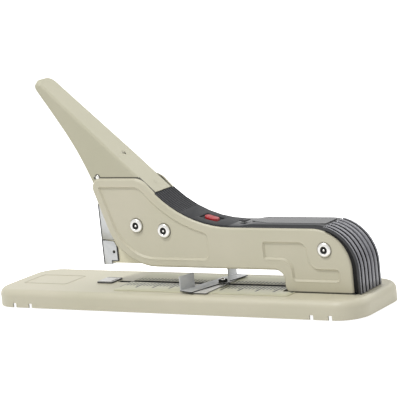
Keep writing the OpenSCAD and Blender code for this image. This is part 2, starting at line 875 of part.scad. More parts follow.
module drive_arm() {
    end = drive_pin_local;
    side = unit([end.y, -end.x]);
    color("#85888a") on_lever() difference() {
        union() {
            across(-drive_y, drive_y) {
                polygon([
                    end + side * drive_end_r, end - side * drive_end_r,
                    -side * hub_r * 0.9, side * hub_r * 0.9
                ]);
                translate(end) circle(drive_end_r);
                circle(hub_r);
                polygon([
                    [-hub_r, 0], [hub_r, 0],
                    [web_rivets[1] + 8, strap_z + 1], [web_rivets[0] + 14, strap_z + 1]
                ]);
            }
            translate([0, 0, strap_z]) linear_extrude(strap_t)
                pad([web_rivets[0] - 7, -8], [web_rivets[1] + 8, 8], 3);
        }
        bar([0, 0], rivet_r + pin_clear, -lever_w, lever_w);
        bar(end, drive_pin_r, -lever_w, lever_w);
        for (x = web_rivets) translate([x, 0, strap_z - 0.8])
            cylinder(r = web_rivet_r, h = lever_t + strap_t + 2);
    }
}

module lever_rivet_pair() {
    color("#b4b0a0") on_lever() for (x = web_rivets)
        translate([x, 0, strap_z - 0.8]) cylinder(r = web_rivet_r, h = lever_t + strap_t + 0.8);
}

module drive_pin() {
    color("#d4d5d4") bar(drive_pin_at, drive_pin_r, side_clear - driver_y, driver_y - side_clear);
}

module lever_cross_pin() {
    color("#e2e3e2") on_lever() bar(cross_pin_at, cross_pin_r, -cheek_out - 0.4, cheek_out + 0.4);
}

// Driver: blade and carrier, pushed down by the drive pin

module driver_blade() {
    color("#9fa2a4") box([blade_x, -driver_y, blade_z], [blade_back, driver_y, carrier_top]);
}

module driver_carrier() {
    ear0 = drive_y + 0.3;
    ear1 = driver_y - side_clear;
    play = 0.4;
    slot_r = drive_pin_r + play;
    low_x = lever_pivot.x - drive_r - play;
    high_x = lever_pivot.x - drive_r * cos(max(drive_up, lever_travel - drive_up)) + play;
    color("#7f8385") {
        both_sides() across(ear0, ear1) difference() {
            translate([blade_back, carrier_z])
                square([high_x + slot_r + 2.5 - blade_back, carrier_top - carrier_z]);
            translate([low_x, drive_pin_at.y - slot_r]) square([high_x - low_x, 2 * slot_r]);
            for (x = [low_x, high_x]) translate([x, drive_pin_at.y]) circle(slot_r);
        }
        box([blade_back, -ear1, carrier_top - 1.2], [blade_back + 3, ear1, carrier_top]);
    }
}

// Drawer: front plate, rail, block, rod and spring

drawer_in = channel_out + side_clear;
drawer_out = drawer_in + nose_sheet;
wing_l = 18.5;
wing_back = nose_x + wing_l;

module drawer_front() {
    color("#b2b5b6") difference() {
        union() {
            both_sides() across(drawer_in, drawer_out) polygon([
                [nose_x, nose_z], [nose_x + 9.5, nose_z], [nose_x + 10.5, nose_z + 3.4],
                [wing_back, nose_z + 3.8], [wing_back, front_top - 8],
                [wing_back - 3.5, front_top - 1.5], [nose_x, front_top]
            ]);
            box([nose_x, -drawer_out, nose_z], [nose_x + nose_sheet, drawer_out, front_top]);
            box([rail_x, -drawer_out, nose_z], [nose_x + 9.5, drawer_out, rail_z]);
        }
        bar([wing_back - 4.6, nose_z + 13.3], 1.6, -body_w, body_w);
    }
}

pusher_x = rail_x + 0.5;
pusher_back = pusher_x + pusher_l;
plug_l = 6;
pusher_travel = 66;
rod_z = rail_z + 12;
rail_slot_w = 3.2;

module staple_rail() {
    t = nose_sheet;
    color("#a4a7a8") difference() {
        box([rail_x, -rail_y, rail_z], [rail_back, rail_y, rail_top]);
        box([rail_x + t, t - rail_y, rail_z - 1], [rail_back + 1, rail_y - t, rail_top - t]);
        box([pusher_x + 3, -rail_slot_w / 2, rail_top - 2 * t],
            [pusher_back + pusher_travel, rail_slot_w / 2, rail_top + 1]);
    }
}

module rail_slide_block() {
    inside = rail_y - nose_sheet;
    color("#2f3032") difference() {
        union() {
            box([rail_back, side_clear - channel_in, rail_z + 2],
                [rail_back + 9, channel_in - side_clear, pusher_top]);
            box([rail_back - plug_l, 0.1 - inside, rail_z + 2],
                [rail_back + 1, inside - 0.1, rail_top - nose_sheet - 0.1]);
        }
        translate([rail_back - plug_l - 1, 0, rod_z]) rotate([0, 90, 0])
            cylinder(r = rod_r + pin_clear, h = plug_l + 4);
    }
}

module pusher_rod() {
    color("#c5c7c8") translate([rail_x + nose_sheet, 0, rod_z]) rotate([0, 90, 0])
        cylinder(r = rod_r, h = rail_l - nose_sheet + 2);
}

pusher_wire = 0.8;
pusher_curls = 16;
slider_back = pusher_back - 2;
module pusher_spring() {
    free = rail_back - plug_l - slider_back - pusher_wire - 0.4;
    color("#8f9396") translate([slider_back + pusher_wire / 2 + 0.2, 0, rod_z]) rotate([0, 90, 0])
        wire(coil(rod_r + 1.5, free / pusher_curls, pusher_curls, 0), pusher_wire);
    echo(str("pusher spring, least gap between curls: ", free / pusher_curls - pusher_wire));
}

module pusher() {
    wall0 = rail_y + side_clear;
    wall1 = channel_in - side_clear;
    slider_y = rail_y - nose_sheet - 0.3;
    color("#b2b5b6") difference() {
        union() {
            both_sides() box([pusher_x, wall0, rail_z + 4], [pusher_back, wall1, pusher_top]);
            box([pusher_x, -wall1, rail_top + side_clear], [pusher_back, wall1, pusher_top]);
            box([pusher_x + 4, 0.2 - rail_slot_w / 2, rod_z],
                [slider_back - 2, rail_slot_w / 2 - 0.2, pusher_top]);
            box([pusher_x + 4, -slider_y, rod_z - 5], [slider_back, slider_y, rod_z + 5]);
        }
        translate([pusher_x, 0, rod_z]) rotate([0, 90, 0]) cylinder(r = rod_r + pin_clear, h = pusher_l);
    }
}

// Release button, latch and spring

latch_half = 1.5;
latch_top = latch_pivot.y + latch_half;
stem_x = button_x + 3;
stem_gap = 0.15;
stem_r = 1.2;
retainer_t = 1.5;
retainer_top = cover_level(button_x + button_l / 2 + retainer_rim) - cover_t - 0.4;

module release_button() {
    color("#c4202b") {
        intersection() {
            translate([0, 0, retainer_top - retainer_t]) linear_extrude(hump_h) button_shape(0);
            across(-button_w, button_w) polygon(rounded(inset(cover_outline, -0.8)));
        }
        translate([0, 0, retainer_top - retainer_t]) linear_extrude(retainer_t) button_shape(retainer_rim);
        translate([stem_x, 0, latch_top + stem_gap])
            cylinder(r = stem_r, h = retainer_top - latch_top - stem_gap);
    }
}

module drawer_latch() {
    tip_z = pusher_top + 0.4;
    color("#85888a") difference() {
        across(-2.5, 2.5) {
            translate([hook_x, latch_pivot.y - latch_half])
                square([stem_x + 3 - hook_x, 2 * latch_half]);
            translate([hook_x, tip_z]) square([2.5, latch_pivot.y - tip_z]);
            translate(latch_pivot) circle(latch_hub);
        }
        bar(latch_pivot, latch_r + pin_clear, -body_w, body_w);
    }
}

latch_wire = 0.5;
module latch_spring() {
    curls = 4;
    free = latch_pivot.y - latch_half - roof_top - latch_wire - 0.4;
    color("#8f9396") translate([stem_x, 0, roof_top + latch_wire / 2 + 0.2])
        wire(coil(1.6, free / curls, curls, 0), latch_wire);
    echo(str("latch spring, least gap between curls: ", free / curls - latch_wire));
}

// Paper guide: the strip stays square, the plate turns on it about the screw

guide_x = pillar_x - guide_in;
strip_z = ruler_z + 0.1;
strip_t = 1;
guide_z = strip_z + strip_t;
guide_top = guide_z + guide_t;
// Both stops stand clear of the closing arm, the far one also when the plate is turned square
stop_clear = 0.5;
near_in = (body_w / 2 + stop_clear + stop_in * sin(guide_turn)) / cos(guide_turn);
far_in = body_w / 2 + 2 * stop_clear;
nut_play = 0.2;

module guide_plate() {
    lobe_r = 6.5;
    bar_back = 2;
    color("#b6b8b6") translate([guide_x, 0, 0]) rotate([0, 0, -guide_turn]) difference() {
        union() {
            translate([0, 0, guide_z]) linear_extrude(guide_t) {
                pad([-stop_in, -near_in - stop_w], [bar_back, far_in + far_stop_w], 1);
                circle(lobe_r);
            }
            box([-stop_in, -near_in - stop_w, guide_z], [guide_t - stop_in, -near_in, guide_top + stop_h]);
            box([-stop_in, far_in, guide_z], [guide_t - stop_in, far_in + far_stop_w, guide_top + stop_h]);
        }
        cylinder(r = guide_screw_r + pin_clear, h = base_w);
    }
}

module guide_strip() {
    strip_front = 16;
    strip_back = 5.5;
    strip_near = 41;
    strip_far = 26;
    color("#d9dad8") translate([guide_x, 0, 0]) difference() {
        translate([0, 0, strip_z]) linear_extrude(strip_t)
            pad([-strip_front, -strip_near], [strip_back, strip_far], 1);
        cylinder(r = guide_screw_r + pin_clear, h = base_w);
    }
}

nut_h = 4;
nut_top = base_under - nut_play;
module guide_nut() {
    key_l = 5;
    key_y = slot_w / 2 - nut_play;
    color("#8d9092") translate([guide_x, 0, 0]) difference() {
        union() {
            box([-6, -6, nut_top - nut_h], [6, 6, nut_top]);
            box([-key_l, -key_y, nut_top - 1], [key_l, key_y, strip_z]);
        }
        cylinder(r = guide_screw_r + pin_clear, h = base_w);
    }
}

module guide_screw() {
    head_z = guide_top + 0.05;
    head_h = 2.2;
    head_r = 4.5;
    drive_w = 1.2;
    drive_d = 1;
    foot_z = nut_top - nut_h;
    color("#232425") translate([guide_x, 0, 0]) difference() {
        union() {
            translate([0, 0, foot_z]) cylinder(r = guide_screw_r, h = head_z + 1 - foot_z);
            translate([0, 0, head_z]) cylinder(r = head_r, h = head_h);
        }
        box([-head_r, -drive_w / 2, head_z + head_h - drive_d], [head_r, drive_w / 2, head_z + head_h + 1]);
    }
}

base_pan();
front_foot();
rear_foot();
anvil_plate();
anvil_screws();
ruler_plate();
pivot_bracket();
right_shell();
left_shell();
top_cover();
head_frame();
magazine_channel();
lever_rivet();
head_rivet();
arm_rivet();
head_spacers();
pivot_spacer();
pivot_washers();
lever_spring();
arm_spring();
latch_pin();
latch_spring();
lever_channel();
drive_arm();
lever_rivet_pair();
drive_pin();
lever_cross_pin();
driver_blade();
driver_carrier();
drawer_front();
staple_rail();
rail_slide_block();
pusher_rod();
pusher_spring();
pusher();
release_button();
drawer_latch();
guide_nut();
guide_plate();
guide_strip();
guide_screw();
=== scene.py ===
"""Looks for a long-reach heavy-duty stapler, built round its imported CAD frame."""

import json
import math
from itertools import cycle

import bmesh
import bpy
from bpy.props import FloatProperty, FloatVectorProperty, PointerProperty
from mathutils import Matrix, Vector


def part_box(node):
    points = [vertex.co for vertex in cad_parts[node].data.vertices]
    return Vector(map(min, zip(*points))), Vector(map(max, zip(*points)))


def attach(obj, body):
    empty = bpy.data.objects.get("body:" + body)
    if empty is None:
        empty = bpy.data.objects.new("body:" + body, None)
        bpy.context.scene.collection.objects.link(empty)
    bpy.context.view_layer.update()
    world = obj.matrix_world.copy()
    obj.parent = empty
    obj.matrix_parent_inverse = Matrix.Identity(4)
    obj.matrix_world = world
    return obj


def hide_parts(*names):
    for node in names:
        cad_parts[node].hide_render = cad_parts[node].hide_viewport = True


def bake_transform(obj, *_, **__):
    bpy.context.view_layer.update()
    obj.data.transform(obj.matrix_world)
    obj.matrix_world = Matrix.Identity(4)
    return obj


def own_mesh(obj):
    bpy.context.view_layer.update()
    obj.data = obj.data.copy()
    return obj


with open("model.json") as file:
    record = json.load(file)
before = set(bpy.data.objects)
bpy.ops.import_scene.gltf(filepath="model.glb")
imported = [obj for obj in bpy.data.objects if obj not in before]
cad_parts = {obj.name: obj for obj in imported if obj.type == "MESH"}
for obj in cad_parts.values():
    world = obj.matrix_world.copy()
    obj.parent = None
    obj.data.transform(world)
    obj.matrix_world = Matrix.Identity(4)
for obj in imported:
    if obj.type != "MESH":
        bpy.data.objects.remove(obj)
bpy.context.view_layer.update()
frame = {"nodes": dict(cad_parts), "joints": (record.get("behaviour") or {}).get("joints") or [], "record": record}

bl_info = {
    "name": "Long-reach stapler",
    "version": (1, 0, 0),
    "blender": (4, 5, 0),
    "location": "View3D > Sidebar > Stapler",
    "description": "Dresses the CAD frame of a heavy-duty stapler with pressed sheet, plastic and metal",
    "category": "Object",
}

MM = 0.001
WELD = 0.01 * MM
TINY = 1e-6
UP = Vector((0, 0, 1))


# Places from the frame


def middle(node):
    """The middle of a CAD node's box."""
    low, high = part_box(node)
    return (low + high) / 2


def pivot(joint):
    """A hinge's point in the record, as x and z."""
    place = next(j["pos_m"] for j in frame["joints"] if j["name"] == joint)
    return place[0], place[2]


SHELL_LOW, SHELL_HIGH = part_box("right_shell")
COVER_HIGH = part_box("top_cover")[1]
PLATE_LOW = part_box("ruler_plate")[0]
DRAWER_LOW, DRAWER_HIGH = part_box("drawer_front")
ANVIL_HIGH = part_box("anvil_plate")[1]
BAR_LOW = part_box("guide_plate")[0]
STRIP_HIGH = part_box("guide_strip")[1]
SCREW_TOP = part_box("guide_screw")[1].z
SCREW = middle("guide_screw")
PIN = middle("lever_cross_pin")
RIVETS = ("lever_rivet", "head_rivet", "arm_rivet")
RIVET_AXES = [middle(node) for node in RIVETS]
LEVER_PIVOT = pivot("lever_press")

# The cover: matt up to GLOSS_START, level behind LEVEL_START, ribbed behind RIB_START

GLOSS_START = 64 * MM
LEVEL_START = 100 * MM
COVER_TOP = max(v.co.z for v in frame["nodes"]["top_cover"].data.vertices if v.co.x > LEVEL_START)
RIB_START = SHELL_HIGH.x - 26 * MM
RIB_PITCH = 7 * MM
RIB_GROOVE = 2.6 * MM

# The arm's outline, seen from the side

ARM_FRONT = -97.1 * MM
CHIN = -66.28 * MM
HUMP_END = -33.1 * MM
SLOPE_FOOT = 10.57 * MM
PILLAR = 121.5 * MM
ARM_TOP = 81.5 * MM
ARM_LOW = 39.9 * MM
SLOPE_RADIUS = 122.8 * MM
SLOPE_ANGLE = math.radians(48)

# The hand lever before it is tilted, measured from its pivot: x is negative towards the tip

LEVER_NECK = -62 * MM
LEVER_END = -4 * MM
LEVER_TAIL = 19 * MM
TAIL_TOP = 19 * MM
TAIL_LOW = -10 * MM
CHEEK_EDGE_MM = (
    (-181, 34.7), (-140, 25.6), (-118, 20.3), (-99, 14.6), (-82, 8.2), (-64, 0.4), (-48, -6), (-20, -15),
    (-4, -15),
)

# The stage in metres, and the camera's sensor in millimetres

FLOOR_SIZE = 6.0
FLOOR_DROP = 0.3 * MM
LAMP_AIM = Vector((0, 0, 0.1))
LAMP_PLACES = {
    "key": (-0.5, -1.2, 2.3),
    "top": (-0.1, 0.4, 2.1),
    "rear": (1.5, 1.1, 0.9),
    "back": (0.3, 1.7, 1.2),
}
LAMP_SIZES = {"key": 0.5, "top": 1.2, "rear": 0.8, "back": 1.0}
SENSOR_WIDTH = 36.0
CLIP_END = 30.0


# Settings


class ShellSettings(bpy.types.PropertyGroup):
    """Sizes of the pressed side shells"""

    sheet: FloatProperty(
        name="Sheet", description="Thickness of the steel sheet", default=1.3 * MM, unit="LENGTH")
    rim: FloatProperty(
        name="Rim radius", description="Radius of the rolled rim", default=2.8 * MM, unit="LENGTH")
    press: FloatProperty(
        name="Press depth", description="Depth of the pressed panels", default=1.4 * MM, unit="LENGTH")
    bead: FloatProperty(
        name="Bead", description="Height of the bead round a panel", default=0.5 * MM, unit="LENGTH")
    draft: FloatProperty(
        name="Draft", description="Width of a panel's sloping wall", default=1.7 * MM, unit="LENGTH")
    border: FloatProperty(
        name="Border", description="Plain border round the front panel", default=6.5 * MM, unit="LENGTH")
    flange: FloatProperty(
        name="Flange", description="Width of the flange under the arm", default=5.6 * MM, unit="LENGTH")


class LeverSettings(bpy.types.PropertyGroup):
    """Sizes of the hand lever, measured from its pivot"""

    tilt: FloatProperty(
        name="Tilt", description="Angle of the lever at rest", default=math.radians(41.2), subtype="ANGLE")
    length: FloatProperty(
        name="Length", description="From the pivot to the tip", default=181 * MM, unit="LENGTH")
    top: FloatProperty(
        name="Top", description="Height of the top over the pivot", default=41.2 * MM, unit="LENGTH")
    width: FloatProperty(
        name="Width", description="Width between the shells", default=34.4 * MM, unit="LENGTH")
    tip_width: FloatProperty(
        name="Tip width", description="Width at the tip", default=28 * MM, unit="LENGTH")
    fold: FloatProperty(
        name="Fold", description="Radius of the folded edges", default=3 * MM, unit="LENGTH")
    sheet: FloatProperty(
        name="Sheet", description="Thickness of the sheet", default=2 * MM, unit="LENGTH")


class FinishSettings(bpy.types.PropertyGroup):
    """Colours of the finishes"""

    enamel: FloatVectorProperty(
        name="Enamel", description="Beige enamel", subtype="COLOR", size=3, default=(0.60, 0.560, 0.445))
    plate: FloatVectorProperty(
        name="Ruler plate", description="Enamel of the ruler plate", subtype="COLOR", size=3,
        default=(0.62, 0.60, 0.46))
    # The marks' colour is the ruler's printed ink and also the painted shade in the enamel
    mark: FloatVectorProperty(
        name="Marks", description="Ink of the ruler's marks and of dark joints in the enamel",
        subtype="COLOR", size=3, default=(0.02, 0.02, 0.016))
    plastic: FloatVectorProperty(
        name="Cover", description="Dark plastic of the cover", subtype="COLOR", size=3,
        default=(0.028, 0.029, 0.032))
    # The ribs' colour is a painted highlight on the tops of the rear ribs
    rib_highlight: FloatVectorProperty(
        name="Ribs", description="Polished tops of the rear ribs", subtype="COLOR", size=3,
        default=(0.17, 0.17, 0.19))
    button: FloatVectorProperty(
        name="Button", description="Red plastic of the button", subtype="COLOR", size=3,
        default=(0.37, 0.008, 0.014))
    zinc: FloatVectorProperty(
        name="Zinc", description="Zinc plate", subtype="COLOR", size=3, default=(0.56, 0.57, 0.57))
    nickel: FloatVectorProperty(
        name="Nickel", description="Bright nickel plate", subtype="COLOR", size=3,
        default=(0.78, 0.77, 0.74))
    steel: FloatVectorProperty(
        name="Steel", description="Plain oiled steel", subtype="COLOR", size=3, default=(0.24, 0.25, 0.26))
    black: FloatVectorProperty(
        name="Black", description="Black oxide and rubber", subtype="COLOR", size=3,
        default=(0.018, 0.018, 0.019))
    nylon: FloatVectorProperty(
        name="Nylon", description="Natural nylon", subtype="COLOR", size=3, default=(0.72, 0.70, 0.62))


class StageSettings(bpy.types.PropertyGroup):
    """Camera and light"""

    yaw: FloatProperty(
        name="Yaw", description="How far the camera stands round to the rear", default=math.radians(32.88),
        subtype="ANGLE")
    pitch: FloatProperty(
        name="Pitch", description="How far the camera looks down", default=math.radians(9.84),
        subtype="ANGLE")
    roll: FloatProperty(
        name="Roll", description="Roll of the camera", default=math.radians(6.0), subtype="ANGLE")
    distance: FloatProperty(
        name="Distance", description="Camera to the aim point", default=1.945, unit="LENGTH")
    lens: FloatProperty(name="Lens", description="Focal length in millimetres", default=176.9)
    aim: FloatVectorProperty(
        name="Aim", description="Point in the middle of the picture", size=3, subtype="XYZ",
        default=(0.0224, 0.0, 0.1047))
    key: FloatProperty(
        name="Key light", description="Power of the key light", default=33.3, unit="POWER")
    top: FloatProperty(
        name="Top light", description="Power of the light over the nose", default=8.0, unit="POWER")
    rear: FloatProperty(
        name="Rear light", description="Power of the light behind the pillar", default=6.0, unit="POWER")
    back: FloatProperty(
        name="Back light", description="Power of the light on the far side", default=4.0, unit="POWER")
    fill: FloatProperty(name="Sky", description="Strength of the light from all round", default=0.43)


class StaplerSettings(bpy.types.PropertyGroup):
    """All settings of the stapler"""

    shell: PointerProperty(type=ShellSettings)
    lever: PointerProperty(type=LeverSettings)
    finish: PointerProperty(type=FinishSettings)
    stage: PointerProperty(type=StageSettings)


# Shading


class Signal:
    """A socket of a node tree, with arithmetic."""

    def __init__(self, tree, socket=None):
        self.tree = tree
        self.socket = socket

    def node(self, kind, inputs=None, output=0, **settings):
        """Adds a node; inputs maps socket names or numbers to values or signals."""
        made = self.tree.nodes.new("ShaderNode" + kind)
        for key, value in settings.items():
            setattr(made, key, value)
        for key, value in (inputs or {}).items():
            if isinstance(value, Signal):
                self.tree.links.new(value.socket, made.inputs[key])
            else:
                made.inputs[key].default_value = value
        return Signal(self.tree, made.outputs[output])

    def math(self, operation, a, b=0.0):
        return self.node("Math", {0: a, 1: b}, operation=operation)

    def mix(self, factor, a, b):
        """A colour between a and b."""
        return self.node("Mix", {0: factor, 6: a, 7: b}, output=2, data_type="RGBA")

    def part(self, axis):
        return self.node("SeparateXYZ", {0: self}, output="XYZ".index(axis))

    def either(self, other):
        """The stronger of two masks."""
        return self.math("MAXIMUM", self, other)

    def __add__(self, other):
        return self.math("ADD", self, other)

    __radd__ = __add__

    def __sub__(self, other):
        return self.math("SUBTRACT", self, other)

    def __rsub__(self, other):
        return self.math("SUBTRACT", other, self)

    def __mul__(self, other):
        return self.math("MULTIPLY", self, other)

    def __lt__(self, other):
        return self.math("LESS_THAN", self, other)

    def __gt__(self, other):
        return self.math("GREATER_THAN", self, other)

    def __abs__(self):
        return self.math("ABSOLUTE", self)


class Finish:
    """A material with a Principled shader that reads Object coordinates."""

    def __init__(self, name, **constants):
        self.material = bpy.data.materials.new(name)
        self.material.use_nodes = True
        self.tree = self.material.node_tree
        self.shader = self.tree.nodes["Principled BSDF"]
        self.place = Signal(self.tree).node("TexCoord", output=3)
        for key, value in constants.items():
            socket = key.replace("_", " ").title().replace("Ior", "IOR")
            self.shader.inputs[socket].default_value = value

    def parts(self, axes):
        """The coordinates along some axes."""
        return [self.place.part(axis) for axis in axes]

    def noise(self, scale, detail=3.0, stretch=None):
        """Noise between 0 and 1 over the surface, scale in waves per metre."""
        place = self.place
        if stretch:
            place = place.node("Mapping", {0: place, 3: stretch})
        sockets = {"Vector": place, "Scale": scale, "Detail": detail, "Roughness": 0.55}
        return place.node("TexNoise", sockets)

    def feed(self, name, signal):
        self.tree.links.new(signal.socket, self.shader.inputs[name])

    def bump(self, height, strength, distance):
        sockets = {"Strength": strength, "Distance": distance, "Height": height}
        self.feed("Normal", self.place.node("Bump", sockets))


def rgba(colour, scale=1.0):
    return (*(min(c * scale, 1.0) for c in colour), 1.0)


def tinted(colour, *factors):
    """A colour times one factor, or times one factor for each of its parts."""
    return [c * k for c, k in zip(colour, cycle(factors))]


# Masks: 1 where a finish turns dark, times how dark it turns. Most of them paint shade; the ruler's ticks are
# print and the guide screw's head is black


def square_distance(place, axis):
    """Square of the distance from an axis, both given by two coordinates."""
    (u, v), (axis_u, axis_v) = place, axis
    return (u - axis_u) * (u - axis_u) + (v - axis_v) * (v - axis_v)


def rivet_distance(finish):
    """Distance of a point from the axis of the nearest rivet."""
    place = finish.parts("XZ")
    squares = [square_distance(place, (at.x, at.z)) for at in RIVET_AXES]
    nearest = squares[0]
    for square in squares[1:]:
        nearest = nearest.math("MINIMUM", nearest, square)
    return nearest.math("SQRT", nearest)


def rivet_ring_and_seam_shade(finish):
    """Mask of painted shade round each rivet's head, and of a painted shadow along the seam between shell and
    base.
    """
    inner, outer, seam_height = 7.1 * MM, 7.9 * MM, 1.1 * MM
    away = rivet_distance(finish)
    ring = (away > inner) * (away < outer) * 0.6
    seam = (finish.place.part("Z") < PLATE_LOW.z + seam_height) * 0.85
    return ring.either(seam)


def rivet_hollow_shade(finish):
    """Mask of painted shade in the hollow round the post in a rivet's head."""
    post, hollow = 1.15 * MM, 3.6 * MM
    away = rivet_distance(finish)
    return (away < hollow) * (away > post)


def rear_grooves(finish):
    """Mask of the grooves between the ribs on the cover's rear."""
    across = finish.place.math("FRACT", finish.place.part("Y") * (1 / RIB_PITCH))
    return abs(across - 0.5) < 0.5 * RIB_GROOVE / RIB_PITCH


def nose_edge_shade(finish):
    """Mask of a painted dark reflection on the folded front edge, and of painted shade round the drawer's front.
    """
    fold_width, joint, end_width = 1.5 * MM, 0.6 * MM, 1.1 * MM
    foot_start, foot_height = 9.9 * MM, 4.6 * MM
    x, y, z = finish.parts("XYZ")
    fold = (x < DRAWER_LOW.x + fold_width) * (abs(y) > DRAWER_HIGH.y - fold_width) * 0.85
    top = (abs(z - DRAWER_HIGH.z) < joint) * 0.75
    end = (x > DRAWER_HIGH.x - end_width) * (z < DRAWER_HIGH.z) * 0.9
    foot = (x > DRAWER_LOW.x + foot_start) * (z < DRAWER_LOW.z + foot_height) * 0.85
    return fold.either(top.either(end.either(foot)))


def anvil_shade(finish):
    """Mask of painted shade on the anvil's sheared sides and in its clinching grooves, and along its rear and side
    rims.
    """
    depth, rear_rim, side_rim = 0.3 * MM, 1.2 * MM, 2.5 * MM
    x, y, z = finish.parts("XYZ")
    sides = (z < ANVIL_HIGH.z - depth) * 0.95
    rim = (x > ANVIL_HIGH.x - rear_rim).either(abs(y) > ANVIL_HIGH.y - side_rim) * 0.6
    return sides.either(rim)


def ruler_marks_and_slot_shade(finish):
    """Mask of the ruler's printed ticks along both sides of the slot, and of painted shade on the slot's edge."""
    pitch, long_pitch, near_start, half_slot = 4 * MM, 20 * MM, -5.5 * MM, 3.4 * MM
    x, y = finish.parts("XY")
    along = x - PLATE_LOW.x

    def ticks(step, width, start, end):
        phase = abs(finish.place.math("FRACT", along * (1 / step) + 0.5) - 0.5)
        return (phase < 0.5 * width / step) * (y > start) * (y < end)

    near = ticks(pitch, 1.9 * MM, -17 * MM, near_start)
    long = ticks(long_pitch, 2.4 * MM, -25 * MM, near_start)
    far = ticks(pitch, 1.6 * MM, 6 * MM, 14 * MM) * 0.8
    # Painted shade on the slot's edge
    slot = (abs(y) < half_slot) * 0.95
    return slot.either(near.either(long) * 0.95).either(far)


def slot_wall_shade(finish):
    """Mask of painted shade on the walls of the guide's slot in the base."""
    half_slot, front_gap, rear_end, underside = 3.2 * MM, 2 * MM, 118 * MM, 14 * MM
    x, y, z = finish.parts("XYZ")
    along = (x > ANVIL_HIGH.x + front_gap) * (x < rear_end)
    return (abs(y) < half_slot) * along * (z > underside) * 0.95


def lever_gap_shade(finish):
    """Mask of the painted shade where the lever dips between the shells, and round its cross pin."""
    hump_bend, front_gap, fold_start, ring = 8.3 * MM, 2 * MM, -37 * MM, 3.4 * MM
    line_low, line_high, fold_low, fold_high = -1 * MM, 1.3 * MM, -8 * MM, 2.4 * MM
    cheek, folded_cheek = 15.6 * MM, 14.2 * MM
    x, y, z = finish.parts("XYZ")
    over = z - SHELL_HIGH.z
    behind = (x - HUMP_END) * math.sin(SLOPE_ANGLE) + over * math.cos(SLOPE_ANGLE)
    hump = over.node("Math", {0: over, 1: behind, 2: hump_bend}, operation="SMOOTH_MAX")
    line = (hump < line_high) * (hump > line_low) * (x > SHELL_LOW.x + front_gap) * (abs(y) > cheek)
    fold = (behind < fold_high) * (behind > fold_low) * (x > fold_start) * (abs(y) > folded_cheek)
    pin = square_distance((x, z), (PIN.x, PIN.z)) < ring ** 2
    return line.either(fold).either(pin) * 0.85


def channel_hole_shade(finish):
    """Mask of a dark disc of painted shade on the magazine, behind the drawer's hole."""
    hole, radius = (DRAWER_HIGH.x - 4.6 * MM, DRAWER_LOW.z + 13.3 * MM), 2.2 * MM
    return (square_distance(finish.parts("XZ"), hole) < radius ** 2) * 0.95


def bar_edge_shade(finish):
    """Mask of painted shade on the guide bar's sheared edge."""
    height = 0.95 * MM
    return finish.place.part("Z") < BAR_LOW.z + height


def strip_edge_shade(finish):
    """Mask of painted shade on the guide strip's sheared edge."""
    depth = 0.25 * MM
    return (finish.place.part("Z") < STRIP_HIGH.z - depth) * 0.7


def screw_rim(finish):
    """Mask of all of the guide's screw but the middle of its head, which stays bright nickel as a painted
    highlight.
    """
    bright = 1.6 * MM
    return square_distance(finish.parts("XY"), (SCREW.x, SCREW.y)) > bright ** 2


# Finishes

MOULD_GRAIN = 1800


def enamel_finish(name, colour, ink_and_shade=None, marks=None):
    """Satin stoved enamel with a faint flow and orange peel, and dark marks: printed ones and painted shade."""
    made = Finish(name, specular_ior_level=0.45)
    flow = made.noise(14, detail=4)
    dust = made.noise(900, detail=2)
    paint = made.place.mix(flow, rgba(tinted(colour, 0.92, 0.95, 0.88)), rgba(colour, 1.06))
    paint = made.place.mix(dust * 0.10, paint, rgba(colour, 0.80))
    # The marks paint the ruler's printed ticks and painted shade round rivets, slots and gaps
    if marks:
        paint = made.place.mix(marks(made), paint, rgba(ink_and_shade))
    made.feed("Base Color", paint)
    made.feed("Roughness", 0.34 + flow * 0.08 + dust * 0.04)
    made.bump(made.noise(420, detail=2), 0.10, 0.4 * MM)
    return made.material


def plastic_finish(name, colour, roughness, grain):
    """Moulded plastic with a fine spark-eroded grain."""
    made = Finish(name, specular_ior_level=0.5)
    cloud = made.noise(30, detail=4)
    made.feed("Base Color", made.place.mix(cloud, rgba(colour, 0.85), rgba(colour, 1.2)))
    made.feed("Roughness", roughness + (cloud - 0.5) * 0.12)
    made.bump(made.noise(MOULD_GRAIN, detail=2), grain, 0.3 * MM)
    return made.material


def cover_finish(name, colour, rib_highlight):
    """Dark plastic: matt on the slope, glossy on the flat top; painted shade in the rear's grooves and a painted
    highlight on the tops of its ribs.
    """
    lip = 0.4 * MM
    made = Finish(name, specular_ior_level=0.22, coat_roughness=0.16)
    cloud = made.noise(30, detail=4)
    x, y = made.parts("XY")
    rear = (x > RIB_START) * (abs(y) < COVER_HIGH.y - lip)
    top = rear * (1 - rear_grooves(made))
    flat = (x > GLOSS_START) * (1 - rear)
    tone = made.place.mix(cloud, rgba(colour, 0.85), rgba(colour, 1.15))
    # Painted shade darkens the rear's grooves; a painted highlight lightens the tops of the ribs
    tone = made.place.mix(rear, tone, rgba(colour, 0.25))
    tone = made.place.mix(top, tone, rgba(rib_highlight))
    made.feed("Base Color", tone)
    made.feed("Roughness", 0.5 - flat * 0.12 - top * 0.12 + cloud * 0.08)
    made.feed("Coat Weight", flat * 0.5 + top * 0.5)
    made.bump(made.noise(MOULD_GRAIN, detail=2), 0.12, 0.3 * MM)
    return made.material


